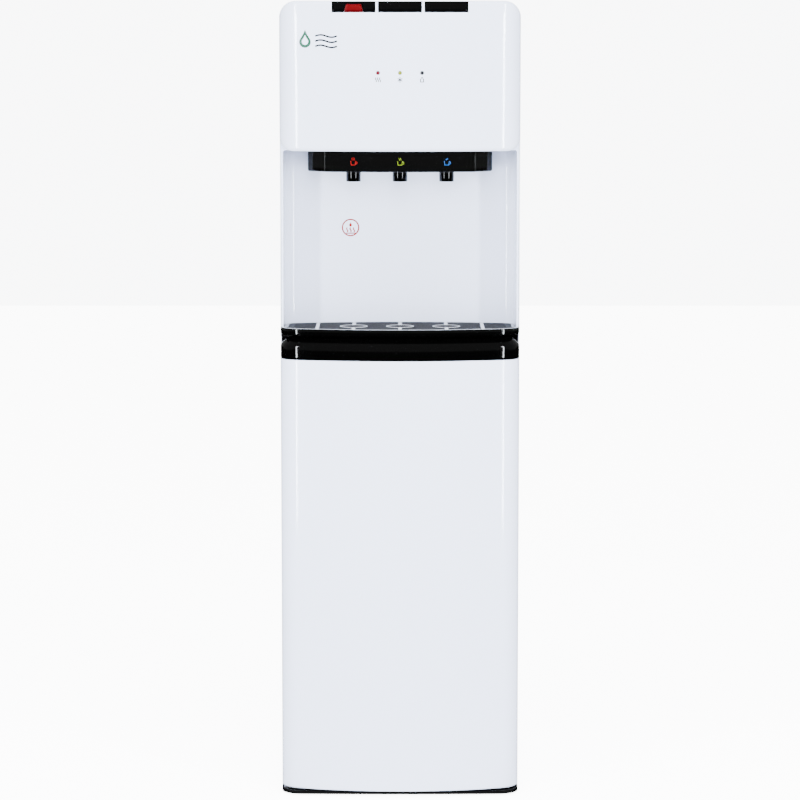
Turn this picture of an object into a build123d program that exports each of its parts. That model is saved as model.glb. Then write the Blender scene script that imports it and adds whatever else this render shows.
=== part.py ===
from build123d import *
import os
from math import asin, cos, hypot, pi, sin, sqrt

os.makedirs("parts", exist_ok=True)

# Floor-standing bottom-loading water cooler, in millimetres.
# The front looks along -Y, +X is to the right, +Z is up.
# The origin is on the floor, under the middle of the cabinet's box.

# Overall size
WIDTH = 310.0
DEPTH = 360.0
HEIGHT = 1033.0

# Bowed front shared by the door, the head and the tray
BOW_RADIUS = 480.0
CORNER_RADIUS = 30.0

# Heights of the front, from the top down and from the floor up
HEAD_HEIGHT = 191.0
BAY_HEIGHT = 228.3
TRAY_BAND = 8.4
TRAY_GAP = 3.1
TRIM_HEIGHT = 28.6
FOOT_STAND = 2.0
BASE_PLATE = 4.4
BASE_DECK = 22.0
DOOR_CLEARANCE = 2.0

# Walls
SHEET = 1.2
COVER_WALL = 3.0
PANEL_WALL = 2.5
SEAM = 0.3
STEEL_PLATE = 1.8

# Running and assembly clearances
PIN_CLEARANCE = 0.05
PRESS_CLEARANCE = 0.1
MOVING_GAP = 0.4
REST_GAP = 0.3

# Levels and planes that several pieces share
HALF = WIDTH / 2
FRONT = -DEPTH / 2
REAR = DEPTH / 2
INNER_X = HALF - SHEET
HEAD_BOTTOM = HEIGHT - HEAD_HEIGHT
TRAY_TOP = HEAD_BOTTOM - BAY_HEIGHT
TRAY_BOTTOM = TRAY_TOP - TRAY_BAND
DOOR_TOP = TRAY_BOTTOM - TRAY_GAP
TRIM_BOTTOM = DOOR_TOP - TRIM_HEIGHT
BASE_TOP = FOOT_STAND + BASE_PLATE
DOOR_BOTTOM = BASE_TOP + DOOR_CLEARANCE
BOW_LEAN = asin((HALF - CORNER_RADIUS) / (BOW_RADIUS - CORNER_RADIUS))
HUB_Y = FRONT + BOW_RADIUS - (BOW_RADIUS - CORNER_RADIUS) * cos(BOW_LEAN)
HEAD_BACK = HUB_Y + 0.5
CHEEK_FRONT = HEAD_BACK + 0.5
DOOR_BACK = HUB_Y + 2.3
GRILLE_STAND = 8.8
BACK_OUT = REAR - GRILLE_STAND
BACK_IN = BACK_OUT - SHEET

# Head
TOP_CORNER = 22.0
LOWER_CORNER = 18.0
LID_BOTTOM = HEIGHT - TOP_CORNER - 2.0

# Buttons
KEY_PITCH = 59.0
NOTCH_WIDTH = 56.0
NOTCH_HEIGHT = 14.7
NOTCH_DEPTH = 40.4
KEY_TRAVEL = 2.9
KEY_FACE_INSET = 0.3
KEY_SKIRT = 2.4
KEY_SKIRT_DROP = 6.0
KEY_PLATE = 3.0
SHAFT_RADIUS = 1.5
SHAFT_DROP = 7.0
LUG_RADIUS = 3.5
LUG_WIDTH = 5.0
CARRIER_PLATE = 2.0
CARRIER_DROP = 23.0
SPRING_RADIUS = 3.2
SPRING_WALL = 0.8
KEY_NAMES = ["hot", "warm", "cold"]
KEY_CENTRES = [-KEY_PITCH, 0.0, KEY_PITCH]

# Child lock in the hot key
LOCK_WIDTH_LOW = 24.3
LOCK_WIDTH_HIGH = 19.0
LOCK_TOP_DROP = 4.4
LOCK_TRAVEL = 2.5
LOCK_LENGTH = 9.0

# Indicators
LED_PITCH = 28.0
LED_RADIUS = 2.5
LED_DROP = 91.0
LED_DOME = 0.8
BOARD = 1.6
BOARD_DEPTH = 8.5

# Taps
FASCIA_HEIGHT = 27.0
FASCIA_SETBACK = 20.0
FASCIA_HALF = 119.0
LENS_HALF = 97.0
LENS_WALL = 2.0
LENS_MARGIN = 1.5
FASCIA_BACK = 100.0
NOZZLE_PITCH = 60.0
NOZZLE_SETBACK = 47.5
NOZZLE_RADIUS = 9.5
NOZZLE_DROP = 13.0
NOZZLE_BORE = 3.5
STEM_RADIUS = 6.0
VALVE_RADIUS = 13.0
VALVE_LOW = 6.0
VALVE_HEIGHT = 37.0
VALVE_PORT = 26.0
TUBE_RADIUS = 4.0
TUBE_BORE = 2.8

# Dispensing recess
RECESS_DEPTH = 120.0
RECESS_BOW = 612.0
RECESS_CORNER = 18.0
GUSSET_RISE = 24.0

# Drip tray and its grille
TRAY_SIDE_GAP = 1.0
GRILLE_MARGIN = 5.0
GRILLE_PLATE = 3.0
TRAY_FLOOR = 2.4
BASIN_HALF = 138.0
BASIN_DEPTH = 17.0
SLOT_PITCH = 6.0
SLOT_WIDTH = 3.0
BAR_X = 107.0
BAR_WIDTH = 5.0
DISH_RADIUS = 18.0
DISH_HOLE = 11.0
DISH_RISE = 0.8

# Door
TRIM_FACE = 17.4
TRIM_SLOPE = 9.0
LIP_WALL = 4.0
CHANNEL_HALF = 120.0
CHANNEL_WIDTH = 13.0
CHANNEL_DEPTH = 16.2
LINER_RECESS = 15.0
LINER_BORDER = 32.0
HINGE_INSET = 12.0
HINGE_FROM_BACK = 10.0
PIN_RADIUS = 2.5
PIN_LENGTH = 15.0
BOSS_RADIUS = 6.0
BOSS_HEIGHT = 22.0
HINGE_X = HINGE_INSET - HALF
HINGE_Y = DOOR_BACK - HINGE_FROM_BACK
LOWER_FRONT = DOOR_BACK + 4.0
INNER_FRONT = HINGE_Y + hypot(HINGE_INSET, HINGE_FROM_BACK) + 1.4

# Floor of the tray's well and ceiling of the bottle bay
SUPPORT_PLATE = 3.0
CEILING_GAP = 8.0
SUPPORT_TOP = TRAY_BOTTOM - BASIN_DEPTH - REST_GAP
CEILING_TOP = SUPPORT_TOP - SUPPORT_PLATE - CEILING_GAP
CEILING_BOTTOM = CEILING_TOP - SUPPORT_PLATE

# Base and bottle bay
BASE_SETBACK = 12.0
BASE_CORNER = 26.0
BASE_BOW = 4000.0
FOOT_RADIUS = 15.0
FOOT_INSET = 34.0
FOOT_HEIGHT = 8.0
FOOT_STEM = 3.0
PLATFORM = 8.0
PLATFORM_FLOOR = 3.0
BOTTLE_DISH = 137.5
DISH_BORDER = 4.0

# Bottle probe
PROBE_WALL_GAP = 26.0
PROBE_RADIUS = 10.0
PROBE_HEAD = 18.0
PROBE_LENGTH = 400.0
PROBE_HEAD_HEIGHT = 25.0
PROBE_NIPPLE = 6.0
PROBE_HOSE_RADIUS = 5.0
PROBE_HOSE_RUN = 52.0
PROBE_NIPPLE_HEIGHT = 15.0
HOLDER_HEIGHT = 13.0

# Tanks and cooling
FAN_SIZE = 92.0
FAN_DEPTH = 20.0
SINK_SIZE = 96.0
SINK_DEPTH = 25.0
SINK_FIN = 2.0
SINK_FIN_PITCH = 6.8
SINK_BASE = 5.0
PELTIER_SIZE = 40.0
PELTIER_DEPTH = 4.0
FOAM_WALL = 20.0
TANK_WALL = 1.0
TANK_GAP = 5.0
HOT_TANK_RADIUS = 48.0
HOT_TANK_HEIGHT = 110.0
HOT_FOAM = 12.0
HOT_STAND = 15.0
SHELF_GAP = 10.0
COLD_TOP_DROP = 58.0
REAR_GRILLE_SIZE = 130.0
LOUVRE_PITCH = 10.0
LOUVRE_WIDTH = 5.0

# Rear services
GLAND_RADIUS = 8.0
GLAND_FLANGE = 11.0
GLAND_BORE = 4.0
GLAND_INSIDE = 11.0
GLAND_OUTSIDE = 3.0
GLAND_HEIGHT = 50.0
GLAND_FROM_SIDE = 45.0
SWITCH_PLATE_WIDTH = 30.0
SWITCH_PLATE_HEIGHT = 62.0
SWITCH_PLATE_WALL = 2.0
SWITCH_FROM_SIDE = 40.0
SWITCH_DROP = 100.0
ROCKER_WIDTH = 13.0
ROCKER_HEIGHT = 20.0
ROCKER_RADIUS = 14.0
ROCKER_TILT = 10.0
ROCKER_PITCH = 27.0
SPOUT_RADIUS = 6.5
SPOUT_BORE = 4.0
SPOUT_SPREAD = 40.0
CAP_RADIUS = 11.0
CAP_WALL = 2.0
CAP_GAP = 0.8
SCREW_HEAD = 3.5
SCREW_HEAD_HEIGHT = 2.0
SCREW_RADIUS = 1.6
SCREW_LENGTH = 8.0
SCREW_ROWS = 5
SIDE_FLANGE = 15.0


def block(x, y, z):
    """Box over the (low, high) spans x, y and z."""
    spans = (x, y, z)
    size = [high - low for low, high in spans]
    middle = [(high + low) / 2 for low, high in spans]
    return Pos(*middle) * Box(*size)


def bar(radius, start, end):
    """Round bar between two points."""
    run = Vector(*end) - Vector(*start)
    return Part() + Solid.make_cylinder(radius, run.length, Plane(origin=start, z_dir=run))


def disc(radius, x, y, low, high):
    """Upright round bar between two levels."""
    return bar(radius, (x, y, low), (x, y, high))


def prism(face, low, high):
    """Upright prism of a plan face between two levels."""
    return extrude(Pos(0, 0, low) * face, amount=high - low, dir=(0, 0, 1))


def bowed_plan(half, bow, corner, tip, back):
    """Plan face with one bowed side, whose tip is at y = tip, and a straight side at y = back.

    Tangent corner arcs join the bow to the two straight flanks at x = +half and -half.
    """
    inward = 1 if back > tip else -1
    centre = tip + inward * bow
    lean = asin((half - corner) / (bow - corner))
    hub = Vector(half - corner, centre - inward * (bow - corner) * cos(lean))
    bow_end = Vector(bow * sin(lean), centre - inward * bow * cos(lean))
    knee_angle = (lean + pi / 2) / 2
    knee = hub + Vector(sin(knee_angle), -inward * cos(knee_angle)) * corner
    flank = Vector(half, hub.Y)
    heel = Vector(half, back)
    right = [bow_end, knee, flank, heel]
    left = [Vector(-point.X, point.Y) for point in right]
    edges = [
        Edge.make_three_point_arc(left[0], Vector(0, tip), right[0]),
        Edge.make_three_point_arc(right[0], right[1], right[2]),
        Edge.make_line(right[2], right[3]),
        Edge.make_line(right[3], left[3]),
        Edge.make_line(left[3], left[2]),
        Edge.make_three_point_arc(left[2], left[1], left[0]),
    ]
    return Face(Wire(edges))


def front_plan(inset, back):
    """Plan of the bowed front, inset from its outer face, back to y = back."""
    return bowed_plan(HALF - inset, BOW_RADIUS - inset, CORNER_RADIUS - inset, FRONT + inset, back)


def recess_plan(inset, front):
    """Plan of the dispensing recess, inset from its inner wall, from y = front to its bowed back."""
    half = INNER_X - SEAM - PANEL_WALL - inset
    tip = FRONT + RECESS_DEPTH - inset
    return bowed_plan(half, RECESS_BOW - inset, RECESS_CORNER - inset, tip, front)


def bow_depth(x, inset=0.0):
    """Y of the bowed front's face at x, or of the face inset behind it."""
    radius = BOW_RADIUS - inset
    return FRONT + BOW_RADIUS - sqrt(radius**2 - x**2)


def elevation(half, low, high, lower_radius, upper_radius, front, back):
    """Prism along Y of a front elevation with rounded corners."""
    points = [(-half, 0, low), (half, 0, low), (half, 0, high), (-half, 0, high)]
    radii = [lower_radius, lower_radius, upper_radius, upper_radius]
    outline = FilletPolyline(*points, radius=radii, close=True)
    face = Pos(0, front, 0) * Face(outline.wire())
    return extrude(face, amount=back - front, dir=(0, 1, 0))


def save(name, shape):
    """Write one sub-part."""
    export_step(shape, f"parts/{name}.step")


# ---------------------------------------------------------------- base and feet

def foot_places():
    """Plan places of the four feet."""
    x = HALF - FOOT_INSET
    front = INNER_FRONT + FOOT_INSET
    back = BACK_IN - FOOT_INSET
    return [(-x, front), (x, front), (-x, back), (x, back)]


def base_plinth():
    """Moulded base: a full plate, a raised hollow deck behind the door, and foot bosses."""
    plan = bowed_plan(HALF, BASE_BOW, BASE_CORNER, FRONT + BASE_SETBACK, BACK_OUT)
    deck_x = INNER_X - SEAM
    deck_back = BACK_IN - SHEET - SEAM
    deck = block((-deck_x, deck_x), (INNER_FRONT, deck_back), (FOOT_STAND, BASE_DECK))
    hollow_x = deck_x - COVER_WALL
    hollow_y = (INNER_FRONT + COVER_WALL, deck_back - COVER_WALL)
    hollow = block((-hollow_x, hollow_x), hollow_y, (FOOT_STAND - 1, BASE_DECK - COVER_WALL))
    base = prism(plan, FOOT_STAND, BASE_TOP) + deck - hollow
    middle = (hollow_y[0] + hollow_y[1]) / 2
    rib = COVER_WALL / 2
    rib_z = (FOOT_STAND, BASE_DECK - COVER_WALL / 2)
    base += block((-hollow_x, hollow_x), (middle - rib, middle + rib), rib_z)
    base += block((-rib, rib), hollow_y, rib_z)
    for x, y in foot_places():
        base += disc(FOOT_RADIUS + COVER_WALL, x, y, FOOT_STAND, BASE_DECK - COVER_WALL / 2)
    for x, y in foot_places():
        base -= disc(FOOT_RADIUS + PRESS_CLEARANCE, x, y, FOOT_STAND - 1, FOOT_HEIGHT)
        base -= disc(FOOT_STEM + PRESS_CLEARANCE, x, y, FOOT_STAND, BASE_DECK - COVER_WALL)
    return base


def feet():
    """Four rubber feet with stems pushed into the base."""
    rubber = Part()
    for x, y in foot_places():
        rubber += disc(FOOT_RADIUS, x, y, 0, FOOT_HEIGHT) + disc(FOOT_STEM, x, y, 0, BASE_DECK - 5)
    return rubber


# ---------------------------------------------------------------- cabinet

def screw_levels():
    """Heights of the rear screws, evenly spaced up the back."""
    low = BASE_DECK + 20
    high = LID_BOTTOM - 15
    return [low + (high - low) * row / (SCREW_ROWS - 1) for row in range(SCREW_ROWS)]


def screw_places():
    """X and Z of every rear screw."""
    x = HALF - SIDE_FLANGE / 2
    return [(side * x, z) for side in (-1, 1) for z in screw_levels()]


def side_panel(side):
    """Folded steel side: a sheet with a rear flange, cut back beside the door."""
    x = sorted((side * INNER_X, side * HALF))
    sheet = block(x, (CHEEK_FRONT, BACK_IN), (BASE_TOP, LID_BOTTOM))
    beside_door = block(
        (-HALF - 1, HALF + 1), (CHEEK_FRONT - 1, LOWER_FRONT), (BASE_TOP - 1, DOOR_TOP + SEAM)
    )
    flange_x = sorted((side * (HALF - SIDE_FLANGE), side * HALF))
    flange = block(flange_x, (BACK_IN - SHEET, BACK_IN), (BASE_TOP, LID_BOTTOM))
    panel = sheet - beside_door + flange
    for place_x, z in screw_places():
        panel -= bar(SCREW_RADIUS + PRESS_CLEARANCE, (place_x, 0, z), (place_x, REAR, z))
    return panel


def back_panel():
    """Steel back with holes for the grille, the switches, the spouts, the cord gland and screws."""
    panel = block((-HALF, HALF), (BACK_IN, BACK_OUT), (BASE_TOP, LID_BOTTOM))
    vent = FAN_SIZE / 2
    panel -= block((-vent, vent), (0, REAR), (FAN_Z - vent, FAN_Z + vent))
    panel -= switch_window(0.0)
    for x in SPOUTS:
        panel -= bar(SPOUT_RADIUS + MOVING_GAP, (x, 0, SPOUT_Z), (x, REAR, SPOUT_Z))
    panel -= bar(GLAND_RADIUS + PRESS_CLEARANCE, (GLAND_X, 0, GLAND_HEIGHT), (GLAND_X, REAR, GLAND_HEIGHT))
    for x, z in screw_places():
        panel -= bar(SCREW_RADIUS + PRESS_CLEARANCE, (x, 0, z), (x, REAR, z))
    return panel


def rear_grille():
    """Louvred plastic guard over the cooling fan."""
    half = REAR_GRILLE_SIZE / 2
    guard = block((-half, half), (BACK_OUT, REAR), (FAN_Z - half, FAN_Z + half))
    guard = fillet(guard.faces().sort_by(Axis.Y)[-1].edges(), GRILLE_STAND / 3)
    inside = half - PANEL_WALL
    guard -= block((-inside, inside), (BACK_OUT - 1, REAR - PANEL_WALL), (FAN_Z - inside, FAN_Z + inside))
    slots = int((2 * inside - LOUVRE_PITCH) / LOUVRE_PITCH)
    reach = inside - LOUVRE_PITCH / 2
    for slot in range(slots):
        z = FAN_Z + (slot - (slots - 1) / 2) * LOUVRE_PITCH
        for side in (-1, 1):
            x = sorted((side * COVER_WALL, side * reach))
            guard -= block(x, (BACK_OUT, REAR + 1), (z - LOUVRE_WIDTH / 2, z + LOUVRE_WIDTH / 2))
    return guard


def top_cover():
    """Lid behind the head, with rounded shoulders and a closed back."""
    front = HEAD_BACK + SEAM
    outer = elevation(HALF, LID_BOTTOM, HEIGHT, 0.5, TOP_CORNER, front, BACK_OUT)
    inner_top = TOP_CORNER - PANEL_WALL
    inner_half = HALF - PANEL_WALL
    inner_low = LID_BOTTOM - 10
    inner_back = BACK_OUT - PANEL_WALL
    inner = elevation(
        inner_half, inner_low, HEIGHT - PANEL_WALL, 0.5, inner_top, front - 1, inner_back
    )
    return outer - inner


def cabinet_screws():
    """Pan-head screws that hold the back to the sides."""
    screws = Part()
    for x, z in screw_places():
        screws += bar(SCREW_RADIUS, (x, BACK_OUT - SCREW_LENGTH, z), (x, BACK_OUT, z))
        screws += bar(SCREW_HEAD, (x, BACK_OUT, z), (x, BACK_OUT + SCREW_HEAD_HEIGHT, z))
    return screws


# ---------------------------------------------------------------- head

def head_block(inset, back):
    """Solid of the head: the bowed plan within a rounded elevation, inset all round."""
    plan = prism(front_plan(inset, back), HEAD_BOTTOM + inset, HEIGHT - inset)
    shape = elevation(
        HALF - inset, HEAD_BOTTOM + inset, HEIGHT - inset,
        LOWER_CORNER - inset, TOP_CORNER - inset, FRONT, back,
    )
    return plan & shape


def notch(centre, gap):
    """Space of one key in the head's top front edge, smaller by gap on every side."""
    half = NOTCH_WIDTH / 2 - gap
    back = FRONT + NOTCH_DEPTH - gap
    low = HEIGHT - NOTCH_HEIGHT + gap
    return block((centre - half, centre + half), (FRONT - 1, back), (low, HEIGHT + 1))


def led_places():
    """X of the three indicator lamps."""
    return [-LED_PITCH, 0.0, LED_PITCH]


def head_cover():
    """Front cover of the head, open behind, with key notches, lamp holes and fixing posts."""
    cover = head_block(0, HEAD_BACK)
    cover -= head_block(COVER_WALL, HEAD_BACK + 1)
    throat_half = LENS_HALF - 7
    throat_y = (FRONT + FASCIA_SETBACK + 6, HEAD_BACK + 1)
    cover -= block((-throat_half, throat_half), throat_y, (HEAD_BOTTOM - 1, HEAD_BOTTOM + COVER_WALL + 1))
    for x in CARRIER_POSTS:
        post_top = HEIGHT - COVER_WALL / 2
        cover += disc(BOSS_RADIUS - 1, x, CARRIER_POST_Y, CARRIER_TOP, post_top)
    for side in (-1, 1):
        x = side * (LED_PITCH + 10)
        start = (x, bow_depth(x, COVER_WALL / 2), LED_Z)
        cover += bar(3.0, start, (x, BOARD_Y, LED_Z))
    for centre in KEY_CENTRES:
        cover -= notch(centre, 0)
    for x in led_places():
        cover -= bar(LED_RADIUS + PRESS_CLEARANCE, (x, FRONT - 1, LED_Z), (x, FRONT + 6, LED_Z))
    return cover


# ---------------------------------------------------------------- buttons

def lock_prism(grow, front, back):
    """Trapezoid of the child lock, grown all round, from y = front to y = back."""
    centre = KEY_CENTRES[0]
    low = HEIGHT - NOTCH_HEIGHT + REST_GAP - grow
    high = HEIGHT - LOCK_TOP_DROP + grow
    half_low = LOCK_WIDTH_LOW / 2 + grow
    half_high = LOCK_WIDTH_HIGH / 2 + grow
    points = [
        (centre - half_low, front, low), (centre + half_low, front, low),
        (centre + half_high, front, high), (centre - half_high, front, high),
    ]
    face = Face(Wire.make_polygon([Vector(*point) for point in points], close=True))
    return extrude(face, amount=back - front, dir=(0, 1, 0))


def wall_clearance(back):
    """Ramp that keeps a key's lowest face behind the head's wall when it is pressed."""
    low = HEIGHT - NOTCH_HEIGHT - 1
    high = HEIGHT - NOTCH_HEIGHT + KEY_TRAVEL + REST_GAP
    return prism(front_plan(-1, HEAD_BACK), low, high) - prism(front_plan(back, HEAD_BACK), low, high)


def key(centre):
    """One key: a top plate, a flush front, a skirt behind the cover's wall and two shaft lugs."""
    body = head_block(KEY_FACE_INSET, HEAD_BACK) & notch(centre, MOVING_GAP)
    body -= wall_clearance(COVER_WALL + MOVING_GAP)
    hollow_front = COVER_WALL + MOVING_GAP + KEY_SKIRT
    half = NOTCH_WIDTH / 2 - MOVING_GAP
    span = (centre - half, centre + half)
    back = FRONT + NOTCH_DEPTH - MOVING_GAP
    low = HEIGHT - NOTCH_HEIGHT - KEY_SKIRT_DROP
    underside = HEIGHT - KEY_FACE_INSET - KEY_PLATE
    skirt = prism(front_plan(COVER_WALL + MOVING_GAP, HEAD_BACK), low, underside)
    body += skirt & block(span, (FRONT, back), (low, underside))
    wall = KEY_SKIRT / 2
    inner = prism(front_plan(hollow_front, HEAD_BACK), low - 1, underside)
    body -= inner & block((span[0] + wall, span[1] - wall), (FRONT, back + 1), (low - 1, underside))
    clear_low = HEIGHT - NOTCH_HEIGHT + REST_GAP
    cheek_trim = block(span, (SHAFT_Y - LUG_RADIUS - 10, back + 1), (low - 1, clear_low))
    body -= cheek_trim
    for side in (-1, 1):
        x = centre + side * (half - LUG_WIDTH)
        lug_x = (x - LUG_WIDTH / 2, x + LUG_WIDTH / 2)
        body += bar(LUG_RADIUS, (lug_x[0], SHAFT_Y, SHAFT_Z), (lug_x[1], SHAFT_Y, SHAFT_Z))
        body += block(lug_x, (SHAFT_Y - LUG_RADIUS, SHAFT_Y + LUG_RADIUS), (SHAFT_Z, underside))
    bore = (centre - half - 1, SHAFT_Y, SHAFT_Z), (centre + half + 1, SHAFT_Y, SHAFT_Z)
    return body - bar(SHAFT_RADIUS + PIN_CLEARANCE, *bore)


def child_lock():
    """Sliding tab in the hot key, sloped at its foot so that it passes behind the head's wall."""
    tab = lock_prism(0, FRONT, FRONT + LOCK_FACE_Y + LOCK_LENGTH)
    tab &= prism(front_plan(KEY_FACE_INSET, HEAD_BACK), HEIGHT - NOTCH_HEIGHT, HEIGHT)
    return tab - wall_clearance(COVER_WALL + MOVING_GAP)


def hot_button():
    """Hot key with the child lock's guide hole through its front."""
    return key(KEY_CENTRES[0]) - lock_prism(REST_GAP, FRONT - 5, FRONT + LOCK_FACE_Y + LOCK_LENGTH + 10)


def button_carrier():
    """Carrier under the keys: a plate, shaft posts between the keys and spring seats."""
    end = KEY_PITCH * 1.5 + 3
    plate_y = (FRONT + 17, SHAFT_Y + LUG_RADIUS)
    plate_x = CARRIER_POSTS[1] + BOSS_RADIUS
    carrier = block((-plate_x, plate_x), plate_y, (CARRIER_TOP - CARRIER_PLATE, CARRIER_TOP))
    for x in (-end, -KEY_PITCH / 2, KEY_PITCH / 2, end):
        post = 1.2
        foot = (CARRIER_TOP - CARRIER_PLATE / 2, SHAFT_Z)
        carrier += block((x - post, x + post), (SHAFT_Y - LUG_RADIUS, SHAFT_Y + LUG_RADIUS), foot)
        carrier += bar(LUG_RADIUS - 0.3, (x - post, SHAFT_Y, SHAFT_Z), (x + post, SHAFT_Y, SHAFT_Z))
    carrier -= bar(SHAFT_RADIUS, (-end - 5, SHAFT_Y, SHAFT_Z), (end + 5, SHAFT_Y, SHAFT_Z))
    return carrier


def button_shaft():
    """Steel rod that all three keys turn on."""
    end = KEY_PITCH * 1.5 + 6
    return bar(SHAFT_RADIUS, (-end, SHAFT_Y, SHAFT_Z), (end, SHAFT_Y, SHAFT_Z))


def button_spring(centre):
    """Outer shape of one key's return spring."""
    top = HEIGHT - KEY_FACE_INSET - KEY_PLATE
    spring = disc(SPRING_RADIUS, centre + SPRING_SIDE, SPRING_Y, CARRIER_TOP, top)
    return spring - disc(SPRING_RADIUS - SPRING_WALL, centre + SPRING_SIDE, SPRING_Y, CARRIER_TOP, top)


def button_switches():
    """Three microswitches on the carrier, one under each key."""
    switches = Part()
    for centre in KEY_CENTRES:
        x = centre - SPRING_SIDE
        case = block((x - 6.4, x + 6.4), (SPRING_Y - 3, SPRING_Y + 3), (CARRIER_TOP, CARRIER_TOP + 7))
        switches += case + disc(1.2, x, SPRING_Y, CARRIER_TOP + 7, CARRIER_TOP + 9)
    return switches


# ---------------------------------------------------------------- indicators

def indicator_board():
    """Small circuit board behind the three lamps."""
    half = LED_PITCH + 16
    board = block((-half, half), (BOARD_Y, BOARD_Y + BOARD), (LED_Z - 14, LED_Z + 14))
    board += block((-9, 9), (BOARD_Y + BOARD, BOARD_Y + BOARD + 6), (LED_Z + 2, LED_Z + 9))
    return board


def indicator(x):
    """One domed indicator lamp, from the board through the cover."""
    shoulder = bow_depth(x) + LED_DOME
    stem = bar(LED_RADIUS, (x, shoulder, LED_Z), (x, BOARD_Y, LED_Z))
    dome_radius = (LED_RADIUS**2 + LED_DOME**2) / (2 * LED_DOME)
    dome = Pos(x, shoulder - LED_DOME + dome_radius, LED_Z) * Sphere(dome_radius)
    return stem + (dome & bar(LED_RADIUS, (x, shoulder - 5, LED_Z), (x, shoulder, LED_Z)))


# ---------------------------------------------------------------- taps

def fascia_plan(inset):
    """Plan of the tap housing: a bowed front, two angled ends and straight sides."""
    lens_y = bow_depth(LENS_HALF, FASCIA_SETBACK)
    side_y = lens_y + FASCIA_HALF - LENS_HALF
    grow = inset * (sqrt(2) - 1)
    corner = LENS_HALF - grow
    edges_right = [
        Vector(corner, bow_depth(corner, FASCIA_SETBACK + inset)),
        Vector(FASCIA_HALF - inset, side_y + grow),
        Vector(FASCIA_HALF - inset, FRONT + FASCIA_BACK - inset),
    ]
    left = [Vector(-point.X, point.Y) for point in edges_right]
    edges = [
        Edge.make_three_point_arc(left[0], Vector(0, FRONT + FASCIA_SETBACK + inset), edges_right[0]),
        Edge.make_line(edges_right[0], edges_right[1]),
        Edge.make_line(edges_right[1], edges_right[2]),
        Edge.make_line(edges_right[2], left[2]),
        Edge.make_line(left[2], left[1]),
        Edge.make_line(left[1], left[0]),
    ]
    return Face(Wire(edges))


def lens_block(margin, depth):
    """Space of the gloss lens in the fascia's front, smaller by margin."""
    half = LENS_HALF - LENS_MARGIN - margin
    low = FASCIA_BOTTOM + LENS_MARGIN + margin
    high = HEAD_BOTTOM - LENS_MARGIN - margin
    span = block((-half, half), (FRONT, HEAD_BACK), (low, high))
    front = prism(front_plan(FASCIA_SETBACK - 1, HEAD_BACK), low, high)
    behind = prism(front_plan(FASCIA_SETBACK + depth, HEAD_BACK + 1), low - 1, high + 1)
    return (span & front) - behind


def tap_housing():
    """Housing of the taps, open at the top, with a lens seat and three stem holes."""
    housing = prism(fascia_plan(0), FASCIA_BOTTOM, HEAD_BOTTOM)
    housing -= prism(fascia_plan(PANEL_WALL + LENS_WALL), FASCIA_BOTTOM + PANEL_WALL, HEAD_BOTTOM + 1)
    housing -= lens_block(0, LENS_WALL)
    for x in NOZZLES:
        housing -= disc(STEM_RADIUS + PRESS_CLEARANCE, x, NOZZLE_Y, FASCIA_BOTTOM - 1, HEAD_BOTTOM)
    return housing


def tap_lens():
    """Gloss strip that carries the tap signs."""
    return lens_block(PRESS_CLEARANCE, LENS_WALL) & prism(
        front_plan(FASCIA_SETBACK, HEAD_BACK), FASCIA_BOTTOM, HEAD_BOTTOM
    )


def nozzle(x):
    """One nozzle: a spout below the housing and a stem up to its valve."""
    low = FASCIA_BOTTOM - NOZZLE_DROP
    spout = disc(NOZZLE_RADIUS, x, NOZZLE_Y, low, FASCIA_BOTTOM)
    collar_high = FASCIA_BOTTOM + PANEL_WALL + 4
    collar = disc(NOZZLE_RADIUS - 1, x, NOZZLE_Y, FASCIA_BOTTOM + PANEL_WALL, collar_high)
    stem = disc(STEM_RADIUS, x, NOZZLE_Y, FASCIA_BOTTOM, VALVE_Z)
    mouth = Pos(x, NOZZLE_Y, low + 2) * Cone(NOZZLE_RADIUS - 1.5, NOZZLE_BORE, 4)
    return spout + collar + stem - disc(NOZZLE_BORE, x, NOZZLE_Y, low - 1, VALVE_Z + 1) - mouth


def dispensing_valves():
    """Three solenoid valves on the nozzle stems, each with an inlet port at the back."""
    valves = Part()
    for x in NOZZLES:
        body = disc(VALVE_RADIUS, x, NOZZLE_Y, VALVE_Z, VALVE_Z + VALVE_HEIGHT)
        port_z = VALVE_Z + VALVE_PORT
        body += bar(TUBE_RADIUS + 1, (x, NOZZLE_Y, port_z), (x, PORT_Y, port_z))
        valves += body
    return valves


def splash_panel():
    """Recess behind the taps: cheeks, a bowed back, a ceiling and two gussets behind the head's corners."""
    low = TRAY_BOTTOM + 1.0
    top = HEAD_BOTTOM + PANEL_WALL
    walls = prism(recess_plan(-PANEL_WALL, CHEEK_FRONT), low, top)
    walls -= prism(recess_plan(0, CHEEK_FRONT - 1), low - 1, HEAD_BOTTOM)
    walls -= prism(fascia_plan(-0.5), HEAD_BOTTOM - 1, top + 1)
    gusset_x = HALF - LOWER_CORNER - 6
    for side in (-1, 1):
        gusset_ends = sorted([side * gusset_x, side * (INNER_X - SEAM)])
        walls += block(gusset_ends, (CHEEK_FRONT, CHEEK_FRONT + PANEL_WALL), (HEAD_BOTTOM, HEAD_BOTTOM + GUSSET_RISE))
    return walls


# ---------------------------------------------------------------- drip tray

def tray_outline(inset, low, high):
    """Solid of the tray's plan: the bowed band in front, the recess plan behind."""
    front = prism(front_plan(inset, HEAD_BACK), low, high)
    front &= block((-HALF, HALF), (FRONT, HEAD_BACK - inset), (low, high))
    return front + prism(recess_plan(TRAY_SIDE_GAP + inset, HEAD_BACK - inset - 1), low, high)


def basin_back():
    """Y of the basin's back face."""
    half = BASIN_HALF + RECESS_CORNER
    bow = RECESS_BOW - TRAY_SIDE_GAP
    return FRONT + RECESS_DEPTH - RECESS_BOW + sqrt(bow**2 - half**2) - 4


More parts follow.
